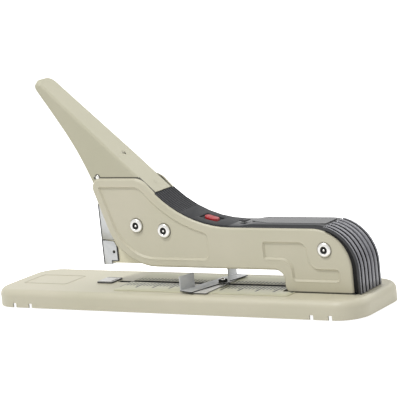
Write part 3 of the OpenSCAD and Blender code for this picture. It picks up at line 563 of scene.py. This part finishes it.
def metal_finish(name, colour, roughness, streak, stretch=None, dark=None, metal=1.0):
    """Plated or plain metal with rolling streaks and faint stains, and dark places from a mask, mostly painted
    shade.
    """
    made = Finish(name, metallic=metal)
    lines = made.noise(220, detail=5, stretch=stretch)
    stain = made.noise(35, detail=4)
    tone = made.place.mix(lines, rgba(colour, 0.84), rgba(colour, 1.12))
    tone = made.place.mix(stain * 0.35, tone, rgba(colour, 0.78))
    rough = roughness + (lines - 0.5) * streak + stain * 0.06
    if dark:
        # The mask mostly paints shade; on the guide's screw it is the head's own black
        joint = dark(made)
        tone = made.place.mix(joint, tone, rgba(colour, 0.02))
        rough = rough + joint * 0.5
        made.feed("Metallic", metal - joint * metal)
    made.feed("Base Color", tone)
    made.feed("Roughness", rough)
    made.bump(lines, 0.05, 0.2 * MM)
    return made.material


def rubber_finish(name, colour):
    """Matt moulded rubber."""
    made = Finish(name, specular_ior_level=0.3)
    cloud = made.noise(60, detail=4)
    made.feed("Base Color", made.place.mix(cloud, rgba(colour, 0.8), rgba(colour, 1.5)))
    made.feed("Roughness", 0.75 + cloud * 0.15)
    made.bump(made.noise(1200), 0.2, 0.4 * MM)
    return made.material


def make_finishes(f):
    """All materials, by the record's slot names or by their own."""
    upright, lengthwise = (1, 1, 8), (6, 1, 1)
    # The lever's enamel is a darker, greener copy of the shells': painted shade that tones down its lit top
    lever = tinted(f.enamel, 0.86, 0.87, 0.84)
    return {
        "cream_paint": enamel_finish("enamel_beige", f.enamel),
        "shell_paint": enamel_finish("enamel_shell", f.enamel, f.mark, rivet_ring_and_seam_shade),
        "base_paint": enamel_finish("enamel_base", f.enamel, f.mark, slot_wall_shade),
        # The field bead's enamel is a darker copy of the base's: painted shade on the bead
        "field_paint": enamel_finish("enamel_field", tinted(f.enamel, 0.86)),
        "lever_paint": enamel_finish("enamel_lever", lever, f.mark, lever_gap_shade),
        # The magazine's enamel is a lighter copy: painted light that brightens it where the shells shade it
        "channel_paint": enamel_finish("enamel_channel", tinted(f.enamel, 1.45), f.mark, channel_hole_shade),
        "ruler_paint": enamel_finish("enamel_ruler", f.plate, f.mark, ruler_marks_and_slot_shade),
        "black_plastic": plastic_finish("plastic_dark", f.plastic, 0.45, 0.2),
        "cover_plastic": cover_finish("plastic_cover", f.plastic, f.rib_highlight),
        "label_plastic": plastic_finish("plastic_label", f.plastic, 0.24, 0.02),
        "arrow_plastic": rubber_finish("plastic_arrow", f.black),
        "red_plastic": plastic_finish("plastic_red", f.button, 0.30, 0.08),
        "white_nylon": plastic_finish("nylon_natural", f.nylon, 0.5, 0.1),
        "foot_rubber": rubber_finish("rubber_foot", f.black),
        "bright_nickel": metal_finish("nickel_bright", f.nickel, 0.20, 0.12),
        "rivet_nickel": metal_finish("nickel_rivet", f.nickel, 0.22, 0.10, dark=rivet_hollow_shade),
        "zinc_plate": metal_finish("zinc_satin", f.zinc, 0.36, 0.16, upright),
        "nose_zinc": metal_finish("zinc_nose", f.zinc, 0.36, 0.16, upright, nose_edge_shade),
        "anvil_zinc": metal_finish("zinc_anvil", tinted(f.nickel, 0.84), 0.32, 0.14, dark=anvil_shade),
        "bar_zinc": metal_finish("zinc_bar", f.zinc, 0.36, 0.16, upright, bar_edge_shade, 0.5),
        "strip_nickel": metal_finish("nickel_strip", f.nickel, 0.30, 0.12, dark=strip_edge_shade, metal=0.3),
        "screw_black": metal_finish("steel_screw", f.nickel, 0.30, 0.10, dark=screw_rim),
        "dark_steel": metal_finish("steel_oiled", f.steel, 0.34, 0.14, lengthwise),
        "black_steel": metal_finish("steel_black", f.black, 0.42, 0.12),
    }


NODE_SLOT = {part["node"]: part["material_slot"] for part in frame["record"]["subparts"]}
NODE_BODY = {
    node: body for body, nodes in frame["record"]["behaviour"]["bodies"].items() for node in nodes
}
OWN_FINISH = {
    "right_shell": "shell_paint", "left_shell": "shell_paint", "top_cover": "cover_plastic",
    "lever_rivet": "rivet_nickel", "head_rivet": "rivet_nickel", "arm_rivet": "rivet_nickel",
    "head_frame": "nose_zinc", "drawer_front": "nose_zinc", "anvil_plate": "anvil_zinc",
    "base_pan": "base_paint", "lever_channel": "lever_paint", "magazine_channel": "channel_paint",
    "guide_plate": "bar_zinc", "guide_strip": "strip_nickel", "guide_screw": "screw_black",
}
FINISHES = {}  # filled by the first operator


def finish_name(node):
    """A CAD node's own finish, or else that of its slot in the record."""
    return OWN_FINISH.get(node, NODE_SLOT[node])


# Modelling


def bare_piece(bm, name, finish):
    """Turns a bmesh into a smooth piece with a finish."""
    mesh = bpy.data.meshes.new(name)
    bm.to_mesh(mesh)
    bm.free()
    mesh.polygons.foreach_set("use_smooth", [True] * len(mesh.polygons))
    mesh.materials.append(FINISHES[finish])
    piece = bpy.data.objects.new(name, mesh)
    bpy.context.scene.collection.objects.link(piece)
    return piece


def loose_piece(bm, name, node, finish):
    """Turns a bmesh into a piece that rides with a CAD node."""
    piece = bare_piece(bm, name, finish)
    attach(piece, NODE_BODY[node])
    return piece


def finish_piece(bm, name, node):
    """Turns a bmesh into a piece that stands for a CAD node."""
    piece = loose_piece(bm, name, node, finish_name(node))
    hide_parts(node)
    return piece


def welded_copy(node):
    """A bmesh of a CAD node with its vertices joined."""
    bm = bmesh.new()
    bm.from_mesh(frame["nodes"][node].data)
    bmesh.ops.remove_doubles(bm, verts=bm.verts, dist=WELD)
    return bm


def sharpen(piece, angle):
    """Keeps the edges of a smooth piece sharp where they fold by more than an angle in degrees."""
    piece.data.set_sharp_from_angle(angle=math.radians(angle))


def even_shading(piece):
    """Lets the large faces of a piece rule its shading."""
    sharpen(piece, 40)
    made = piece.modifiers.new("shading", "WEIGHTED_NORMAL")
    made.weight = 80
    made.keep_sharp = True


def round_edges(piece, width):
    """Rounds the sharp edges of a piece."""
    made = piece.modifiers.new("round", "BEVEL")
    made.width = width
    made.segments = 2
    made.limit_method = "ANGLE"
    made.angle_limit = math.radians(30)
    made.harden_normals = True
    made.use_clamp_overlap = True
    piece.modifiers.new("weld", "WELD").merge_threshold = WELD


def thicken(piece, thickness):
    """Gives a sheet its thickness, away from its normals."""
    made = piece.modifiers.new("sheet", "SOLIDIFY")
    made.thickness = thickness
    made.offset = -1


def face_towards(bm, direction):
    """Makes all normals agree, with the largest face turned in a direction."""
    bmesh.ops.recalc_face_normals(bm, faces=bm.faces)
    largest = max(bm.faces, key=lambda face: face.calc_area())
    if largest.normal.dot(direction) < 0:
        bmesh.ops.reverse_faces(bm, faces=bm.faces)


def extrude(bm, edges):
    """Extrudes edges in place; returns the new vertices."""
    made = bmesh.ops.extrude_edge_only(bm, edges=edges)["geom"]
    return [v for v in made if isinstance(v, bmesh.types.BMVert)]


def bend(bm, edges, radius, segments):
    """Rounds the folded edges of a sheet."""
    bmesh.ops.bevel(bm, geom=edges, offset=radius, offset_type="OFFSET", segments=segments, profile=0.5,
                    affect="EDGES", clamp_overlap=False, material=-1)


def spun(profile, axis, steps):
    """A bmesh of a profile's points, joined in a row and spun once round an axis through the origin."""
    bm = bmesh.new()
    points = [bm.verts.new(place) for place in profile]
    for pair in zip(points, points[1:]):
        bm.edges.new(pair)
    bmesh.ops.spin(bm, geom=bm.verts[:] + bm.edges[:], cent=(0, 0, 0), axis=axis, dvec=(0, 0, 0),
                   angle=2 * math.pi, steps=steps, use_merge=True, use_duplicate=False)
    return bm


def raised_piece(bm, name, node, finish, thickness, edge):
    """Turns a flat bmesh into a thin plate that lies on a CAD node, with rounded edges."""
    face_towards(bm, UP)
    piece = loose_piece(bm, name, node, finish)
    thicken(piece, thickness)
    round_edges(piece, edge)


def inset_corners(corners, distance):
    """Corners of an outline moved inwards; they run anticlockwise."""
    moved = []
    for i, (x, z, r) in enumerate(corners):
        here = Vector((x, z))
        ahead = (Vector(corners[(i + 1) % len(corners)][:2]) - here).normalized()
        back = (here - Vector(corners[i - 1][:2])).normalized()
        n1 = Vector((-back.y, back.x))
        n2 = Vector((-ahead.y, ahead.x))
        shift = (n1 + n2) * distance / (1 + n1.dot(n2))
        outward = back.cross(ahead) > 0
        moved.append((x + shift.x, z + shift.y, r - distance if outward else r + distance))
    return moved


def outline(bm, corners, lift, step=5.0):
    """Edges of a closed loop; each corner is a point spun round its own centre."""
    places = [lift(x, z) for x, z, _ in corners]
    runs = []
    for i, (here, (_, _, r)) in enumerate(zip(places, corners)):
        back = (places[i - 1] - here).normalized()
        ahead = (places[(i + 1) % len(places)] - here).normalized()
        half = back.angle(ahead) / 2
        start = bm.verts.new(here + back * (r / math.tan(half)))
        if r == 0:
            runs.append([start])
            continue
        centre = here + (back + ahead).normalized() * (r / math.sin(half))
        turn = math.pi - 2 * half
        steps = max(2, math.ceil(math.degrees(turn) / step))
        bmesh.ops.spin(bm, geom=[start], cent=centre, axis=ahead.cross(back), dvec=(0, 0, 0),
                       angle=turn, steps=steps, use_duplicate=False)
        run = [start]
        while True:
            ends = [e.other_vert(run[-1]) for e in run[-1].link_edges]
            ends = [v for v in ends if v not in run]
            if not ends:
                break
            run.append(ends[0])
        runs.append(run)
    for i, run in enumerate(runs):
        bm.edges.new((runs[i - 1][-1], run[0]))
    loop = [v for run in runs for v in run]
    return [bm.edges.get((loop[i - 1], loop[i])) for i in range(len(loop))]


# Operators


class STAPLER_OT_finishes(bpy.types.Operator):
    """Make the materials and dress the inner pieces that stay as CAD nodes"""

    bl_idname = "stapler.finishes"
    bl_label = "Finishes"

    def execute(self, context):
        FINISHES.update(make_finishes(context.scene.stapler.finish))
        for node, piece in frame["nodes"].items():
            piece.data.materials.clear()
            piece.data.materials.append(FINISHES[finish_name(node)])
        return {"FINISHED"}


class STAPLER_OT_shells(bpy.types.Operator):
    """Press the two side shells: rolled rim, sunk panels, flange under the arm"""

    bl_idname = "stapler.shells"
    bl_label = "Side shells"

    def execute(self, context):
        s = context.scene.stapler.shell
        rim = self.rim_corners()
        panels = self.front_panel(rim, s.border), self.rear_panel()
        for node, side in (("right_shell", -1), ("left_shell", 1)):
            self.press(s, node, side, rim, panels)
        return {"FINISHED"}

    @staticmethod
    def rim_corners():
        """Corners of a shell's rim from the top of its front, each with x, z and radius."""
        top, low, rear = SHELL_HIGH.z, SHELL_LOW.z, SHELL_HIGH.x
        return [
            (ARM_FRONT, top, 10 * MM), (CHIN, ARM_LOW, 58 * MM), (PILLAR, ARM_LOW, 10 * MM),
            (PILLAR, low, 9 * MM), (rear, low, 4 * MM), (rear, ARM_TOP, 40 * MM),
            (SLOPE_FOOT, ARM_TOP, SLOPE_RADIUS), (HUMP_END, top, 22 * MM),
        ]

    @staticmethod
    def front_panel(rim, border):
        """Corners of the front panel, which follows the rim and ends upright behind the slope."""
        inset = inset_corners(rim, border)
        end, corner, turn = SLOPE_FOOT + 30.5 * MM, 8 * MM, 9 * MM
        arc = SLOPE_RADIUS + border
        centre = Vector((SLOPE_FOOT + SLOPE_RADIUS * math.tan(SLOPE_ANGLE / 2), ARM_TOP + SLOPE_RADIUS))
        flat = math.asin((centre.x - end + turn) / arc)
        reach = arc / math.cos((SLOPE_ANGLE - flat) / 2)
        mean = (SLOPE_ANGLE + flat) / 2
        return [
            inset[0], inset[1], (end, ARM_LOW + border, corner),
            (end, centre.y - arc * math.cos(flat) - turn * math.tan(flat), corner),
            (centre.x - reach * math.sin(mean), centre.y - reach * math.cos(mean), arc), inset[7],
        ]

    @staticmethod
    def rear_panel():
        """Corners of the stepped panel over the pillar."""
        front, front_leg, rear_leg, rear = 99.3, 129.6, 151.4, 184.4
        low, shelf, brow, top = 28.1, 44.3, 49, 70.1
        return [(x * MM, z * MM, radius * MM) for x, z, radius in (
            (front, brow, 4.4), (front_leg, brow, 10), (front_leg, low, 5.9), (rear, low, 5.9),
            (rear, shelf, 4.9), (rear_leg, shelf, 10), (rear_leg, top, 10.9), (front, top, 4.2),
        )]

    def press(self, s, node, side, rim_corners, panel_corners):
        outwards = Vector((0, side, 0))
        bm = bmesh.new()

        def lift(x, z):
            return Vector((x, side * -SHELL_LOW.y, z))

        rim = outline(bm, rim_corners, lift)
        panels = [outline(bm, corners, lift) for corners in panel_corners]
        bmesh.ops.triangle_fill(bm, use_beauty=True, edges=bm.edges[:], normal=outwards)
        floors = []
        for panel in panels:
            floors += bmesh.ops.contextual_create(bm, geom=panel)["faces"]
        face_towards(bm, outwards)
        for depth in (s.bead, -s.press - s.bead):
            bmesh.ops.inset_region(bm, faces=floors, thickness=s.draft, depth=depth,
                                   use_even_offset=True, use_boundary=True)
        edge = [e for e in rim if e.is_boundary]
        wall_depth = s.rim + 0.2 * MM
        bmesh.ops.translate(bm, verts=extrude(bm, edge), vec=-wall_depth * outwards)
        hem = [e for e in bm.edges if e.is_boundary and all(map(self.under_arm, e.verts))]
        bmesh.ops.translate(bm, verts=extrude(bm, hem), vec=(s.rim - s.flange) * outwards)
        bend(bm, edge, s.rim, segments=6)
        face_towards(bm, outwards)
        piece = finish_piece(bm, node + "_piece", node)
        thicken(piece, s.sheet)
        even_shading(piece)

    @staticmethod
    def under_arm(vert):
        """Whether a vertex of the rim's wall carries the flange, under the arm or before the pillar."""
        front, behind_pillar, over_foot, over_arm = -8 * MM, 6 * MM, 8 * MM, 9 * MM
        along = front < vert.co.x < PILLAR + behind_pillar
        return along and SHELL_LOW.z + over_foot < vert.co.z < ARM_LOW + over_arm


class STAPLER_OT_lever(bpy.types.Operator):
    """Fold the hand lever from one sheet"""

    bl_idname = "stapler.lever"
    bl_label = "Hand lever"

    def execute(self, context):
        s = context.scene.stapler.lever
        half, tip, tip_corner, neck_bend = s.width / 2, s.tip_width / 2, 9 * MM, 60 * MM
        longest, cuts = 30 * MM, 20
        bm = bmesh.new()
        rim = outline(bm, [
            (-s.length, -tip, tip_corner), (LEVER_NECK, -half, neck_bend), (LEVER_END, -half, 0),
            (LEVER_END, half, 0), (LEVER_NECK, half, neck_bend), (-s.length, tip, tip_corner),
        ], lambda x, y: Vector((x, y, s.top)))
        long = [e for e in rim if not self.at_end(e) and e.calc_length() > longest]
        bmesh.ops.subdivide_edges(bm, edges=long, cuts=cuts)
        sides = [e for e in bm.edges if not self.at_end(e)]
        bmesh.ops.contextual_create(bm, geom=bm.edges[:])
        face_towards(bm, UP)
        for v in extrude(bm, sides):
            v.co.z = self.cheek_edge(v.co.x)
        tails = [e for e in bm.edges if e.is_boundary and self.at_end(e)
                 and abs(e.verts[0].co.y - e.verts[1].co.y) < TINY]
        for v in extrude(bm, tails):
            v.co.x += LEVER_TAIL
            v.co.z = TAIL_TOP if v.co.z > 0 else TAIL_LOW
        bend(bm, sides, s.fold, segments=5)
        upright = Matrix.Translation((LEVER_PIVOT[0], 0, LEVER_PIVOT[1])) @ Matrix.Rotation(s.tilt, 4, "Y")
        bmesh.ops.transform(bm, verts=bm.verts, matrix=upright)
        piece = finish_piece(bm, "lever_piece", "lever_channel")
        thicken(piece, s.sheet)
        even_shading(piece)
        return {"FINISHED"}

    @staticmethod
    def at_end(edge):
        """Whether an edge stands across the lever's open end."""
        return all(abs(v.co.x - LEVER_END) < TINY for v in edge.verts)

    @staticmethod
    def cheek_edge(x):
        """Height of the cheeks' lower edge along the lever."""
        x /= MM
        for (x0, z0), (x1, z1) in zip(CHEEK_EDGE_MM, CHEEK_EDGE_MM[1:]):
            if x <= x1:
                return (z0 + (z1 - z0) * (max(x, x0) - x0) / (x1 - x0)) * MM
        return CHEEK_EDGE_MM[-1][1] * MM


class STAPLER_OT_rivets(bpy.types.Operator):
    """Turn the three hollow rivets across the arm"""

    bl_idname = "stapler.rivets"
    bl_label = "Rivets"

    def execute(self, context):
        for node in RIVETS:
            low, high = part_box(node)
            profile = self.profile((high.x - low.x) / 2 / MM, high.y / MM)
            bm = spun([(0, y * MM, radius * MM) for y, radius in profile], axis=(0, 1, 0), steps=48)
            bmesh.ops.mirror(bm, geom=bm.verts[:] + bm.edges[:] + bm.faces[:], axis="Y", merge_dist=WELD)
            bmesh.ops.remove_doubles(bm, verts=bm.verts, dist=WELD)
            bmesh.ops.recalc_face_normals(bm, faces=bm.faces)
            bmesh.ops.translate(bm, verts=bm.verts, vec=middle(node))
            sharpen(finish_piece(bm, node + "_piece", node), 50)
        return {"FINISHED"}

    @staticmethod
    def profile(rim, top):
        """Half of a rivet in millimetres, as y and radius: stem, head, hollow and the post in it."""
        stem, seat = 5.0, top - 2.2
        head = [(0, rim), (0.7, rim), (1.5, rim - 0.45), (2.0, rim - 1.5), (2.2, rim - 2.6)]
        hollow = [(2.1, 3.9), (1.7, 3.5), (0.4, 3.3), (0.15, 3.0)]
        post = [(0.15, 1.5), (1.5, 1.2), (1.8, 0.8), (1.9, 0)]
        return [(0, stem)] + [(seat + y, radius) for y, radius in [(0, stem)] + head + hollow + post]


class STAPLER_OT_sheet_parts(bpy.types.Operator):
    """Soften the edges of the pieces that keep the CAD's shape"""

    bl_idname = "stapler.sheet_parts"
    bl_label = "Sheet parts"

    def execute(self, context):
        for node, width in (
            ("base_pan", 0), ("ruler_plate", 0.2), ("anvil_plate", 0.25), ("head_frame", 0.4),
            ("drawer_front", 0.4), ("magazine_channel", 0.3), ("guide_plate", 0.35), ("guide_strip", 0.3),
            ("guide_screw", 0.3), ("lever_cross_pin", 0.4), ("lever_rivet_pair", 0.3), ("top_cover", 0.3),
            ("release_button", 0.7), ("front_foot", 0.8), ("rear_foot", 0.8), ("pivot_bracket", 0.4),
        ):
            self.soften(node, width * MM)
        return {"FINISHED"}

    @staticmethod
    def soften(node, width):
        """Stands a welded copy with rounded edges for a CAD node; no width leaves the edges alone."""
        bm = welded_copy(node)
        bmesh.ops.dissolve_limit(bm, angle_limit=math.radians(0.5), verts=bm.verts, edges=bm.edges)
        piece = finish_piece(bm, node + "_piece", node)
        if width:
            round_edges(piece, width)
        else:
            even_shading(piece)


class STAPLER_OT_guide_stud(bpy.types.Operator):
    """Turn the polished stud in the middle of the guide's screw"""

    bl_idname = "stapler.guide_stud"
    bl_label = "Guide stud"

    def execute(self, context):
        seat, radius, foot, facet = SCREW_TOP - 0.2 * MM, 2.1 * MM, -0.6 * MM, 15
        dome = [math.radians(angle) for angle in range(0, 91, facet)]
        profile = [(0, 0, foot), (radius, 0, foot)]
        profile += [(radius * math.cos(angle), 0, radius * math.sin(angle)) for angle in dome]
        bm = spun(profile, axis=UP, steps=24)
        bmesh.ops.remove_doubles(bm, verts=bm.verts, dist=WELD)
        bmesh.ops.recalc_face_normals(bm, faces=bm.faces)
        bmesh.ops.translate(bm, verts=bm.verts, vec=(SCREW.x, SCREW.y, seat))
        loose_piece(bm, "guide_stud", "guide_screw", "bright_nickel")
        return {"FINISHED"}


class STAPLER_OT_field_bead(bpy.types.Operator):
    """Press the bead round the plain field on the base before the anvil"""

    bl_idname = "stapler.field_bead"
    bl_label = "Field bead"

    def execute(self, context):
        place, long, wide, corner = -168 * MM, 28 * MM, 19 * MM, 4 * MM
        bead, height, sunk, edge = 2.2 * MM, 0.35 * MM, 0.4 * MM, 0.3 * MM
        corners = [(place + long * x, wide * y, corner) for x, y in ((-1, -1), (1, -1), (1, 1), (-1, 1))]
        bm = bmesh.new()

        def lift(x, y):
            return Vector((x, y, PLATE_LOW.z + height))

        edges = outline(bm, corners, lift, step=15)
        edges += outline(bm, inset_corners(corners, bead), lift, step=15)
        bmesh.ops.triangle_fill(bm, use_beauty=True, edges=edges, normal=UP)
        raised_piece(bm, "field_bead", "base_pan", "field_paint", height + sunk, edge)
        return {"FINISHED"}


class STAPLER_OT_springs(bpy.types.Operator):
    """Stand welded copies for the springs; the pusher and latch springs ride with the drawer and the arm"""

    bl_idname = "stapler.springs"
    bl_label = "Springs"

    def execute(self, context):
        coil = 8 * MM
        for node, fixed, moving, joint in (
            ("arm_spring", "base", "arm", "arm_close"), ("lever_spring", "arm", "lever", "lever_press"),
        ):
            x, z = pivot(joint)
            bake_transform(self.wound(node), fixed, moving, (x, 0, z - coil), (x, 0, z + coil))
        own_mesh(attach(self.wound("pusher_spring"), "drawer"))
        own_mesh(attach(self.wound("latch_spring"), "arm"))
        return {"FINISHED"}

    @staticmethod
    def wound(node):
        """A welded copy of a CAD spring that rides on no body yet."""
        piece = bare_piece(welded_copy(node), node + "_piece", NODE_SLOT[node])
        sharpen(piece, 50)
        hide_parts(node)
        return piece


class STAPLER_OT_cover_marks(bpy.types.Operator):
    """Lay the plain label plate and the arrow on the cover's flat top"""

    bl_idname = "stapler.cover_marks"
    bl_label = "Label plate and arrow"

    def execute(self, context):
        front, neck, back = 82 * MM, 104 * MM, RIB_START - 2 * MM
        tongue, half, corner, neck_bend = 3.5 * MM, 12 * MM, 1 * MM, 6 * MM
        self.lay("label_plate", "label_plastic", 0.3 * MM, [
            (front, -tongue, corner), (neck, -half, neck_bend), (back, -half, corner),
            (back, half, corner), (neck, half, neck_bend), (front, tongue, corner),
        ])
        tip, root, corner = 66 * MM, 76 * MM, 0.4 * MM
        self.lay("arrow_mark", "arrow_plastic", 0.2 * MM, [
            (tip, -1.5 * MM, corner), (root, -8 * MM, corner), (root, 5 * MM, corner),
        ])
        return {"FINISHED"}

    @staticmethod
    def lay(name, finish, height, corners):
        """Puts a thin plate on the cover, height over it and sunk into it a little."""
        sunk = 0.5 * MM
        bm = bmesh.new()
        rim = outline(bm, corners, lambda x, y: Vector((x, y, COVER_TOP + height)), step=12)
        bmesh.ops.contextual_create(bm, geom=rim)
        raised_piece(bm, name, "top_cover", finish, height + sunk, height / 2)


class STAPLER_OT_stage(bpy.types.Operator):
    """Set up the floor, the light and the camera"""

    bl_idname = "stapler.stage"
    bl_label = "Stage"

    def execute(self, context):
        s = context.scene.stapler.stage
        context.scene.view_settings.view_transform = "Standard"
        self.floor(context)
        self.sky(context, s.fill)
        for name, place in LAMP_PLACES.items():
            self.lamp(context, name, place, LAMP_SIZES[name], getattr(s, name))
        self.camera(context, s)
        return {"FINISHED"}

    def floor(self, context):
        """Lays a floor that is white to the camera and a soft grey light to mirrors."""
        bm = bmesh.new()
        low = Matrix.Translation((0, 0, -FLOOR_DROP))
        bmesh.ops.create_grid(bm, x_segments=1, y_segments=1, size=FLOOR_SIZE, matrix=low)
        mesh = bpy.data.meshes.new("floor")
        bm.to_mesh(mesh)
        bm.free()
        plane = bpy.data.objects.new("floor", mesh)
        context.scene.collection.objects.link(plane)
        material = bpy.data.materials.new("floor_white")
        material.use_nodes = True
        tree = material.node_tree
        shader = tree.nodes["Principled BSDF"]
        shader.inputs["Base Color"].default_value = rgba((0.9, 0.9, 0.9))
        shader.inputs["Roughness"].default_value = 0.9
        shader.inputs["Emission Strength"].default_value = 1.0
        straight, seen = self.seen_rays(tree)
        glow = straight.either(seen * 0.35)
        white = glow.mix(glow, rgba((0, 0, 0)), rgba((1, 1, 1)))
        tree.links.new(white.socket, shader.inputs["Emission Color"])
        mesh.materials.append(material)

    @staticmethod
    def seen_rays(tree):
        """Two signals: 1 for rays that come straight, and 1 for those and rays by mirror or glass."""
        path = Signal(tree).node("LightPath")
        rays = {out.name: Signal(tree, out) for out in path.socket.node.outputs}
        straight = rays["Is Camera Ray"]
        bent = rays["Is Glossy Ray"].either(rays["Is Transmission Ray"])
        return straight, straight.either(bent)

    def sky(self, context, fill):
        """Makes a world that is white where it is seen and lights with the strength of the fill."""
        world = bpy.data.worlds.new("white_room")
        world.use_nodes = True
        tree = world.node_tree
        strength = fill + self.seen_rays(tree)[1] * (1 - fill)
        back = tree.nodes["Background"]
        back.inputs["Color"].default_value = rgba((1, 1, 1))
        tree.links.new(strength.socket, back.inputs["Strength"])
        context.scene.world = world

    @staticmethod
    def lamp(context, name, place, size, power):
        light = bpy.data.lights.new(name, "AREA")
        light.size = size
        light.energy = power
        lamp = bpy.data.objects.new(name, light)
        lamp.location = place
        lamp.rotation_euler = (LAMP_AIM - Vector(place)).to_track_quat("-Z", "Y").to_euler()
        context.scene.collection.objects.link(lamp)

    @staticmethod
    def camera(context, s):
        """Points the camera at the aim and rolls it."""
        level = math.cos(s.pitch)
        ahead = Vector((-math.sin(s.yaw) * level, math.cos(s.yaw) * level, -math.sin(s.pitch)))
        right = Vector((math.cos(s.yaw), math.sin(s.yaw), 0))
        down = ahead.cross(right)
        turned_right = right * math.cos(s.roll) + down * math.sin(s.roll)
        turned_down = down * math.cos(s.roll) - right * math.sin(s.roll)
        data = bpy.data.cameras.new("camera")
        data.lens = s.lens
        data.sensor_width = SENSOR_WIDTH
        data.clip_end = CLIP_END
        camera = bpy.data.objects.new("camera", data)
        turn = Matrix((turned_right, -turned_down, -ahead)).transposed().to_4x4()
        camera.matrix_world = Matrix.Translation(Vector(s.aim) - ahead * s.distance) @ turn
        context.scene.collection.objects.link(camera)
        context.scene.camera = camera


class STAPLER_PT_panel(bpy.types.Panel):
    """Lists the stapler's operators"""

    bl_idname = "STAPLER_PT_panel"
    bl_label = "Stapler"
    bl_space_type = "VIEW_3D"
    bl_region_type = "UI"
    bl_category = "Stapler"

    def draw(self, context):
        for operator in OPERATORS:
            self.layout.operator(operator.bl_idname)


OPERATORS = (
    STAPLER_OT_finishes, STAPLER_OT_shells, STAPLER_OT_lever, STAPLER_OT_rivets,
    STAPLER_OT_sheet_parts, STAPLER_OT_guide_stud, STAPLER_OT_field_bead, STAPLER_OT_cover_marks,
    STAPLER_OT_springs, STAPLER_OT_stage,
)
CLASSES = (
    ShellSettings, LeverSettings, FinishSettings, StageSettings, StaplerSettings,
    *OPERATORS, STAPLER_PT_panel,
)


def register():
    for cls in CLASSES:
        bpy.utils.register_class(cls)
    bpy.types.Scene.stapler = PointerProperty(type=StaplerSettings)


def unregister():
    del bpy.types.Scene.stapler
    for cls in reversed(CLASSES):
        bpy.utils.unregister_class(cls)


def main():
    register()
    for operator in OPERATORS:
        group, name = operator.bl_idname.split(".")
        getattr(getattr(bpy.ops, group), name)()


if __name__ == "__main__":
    main()
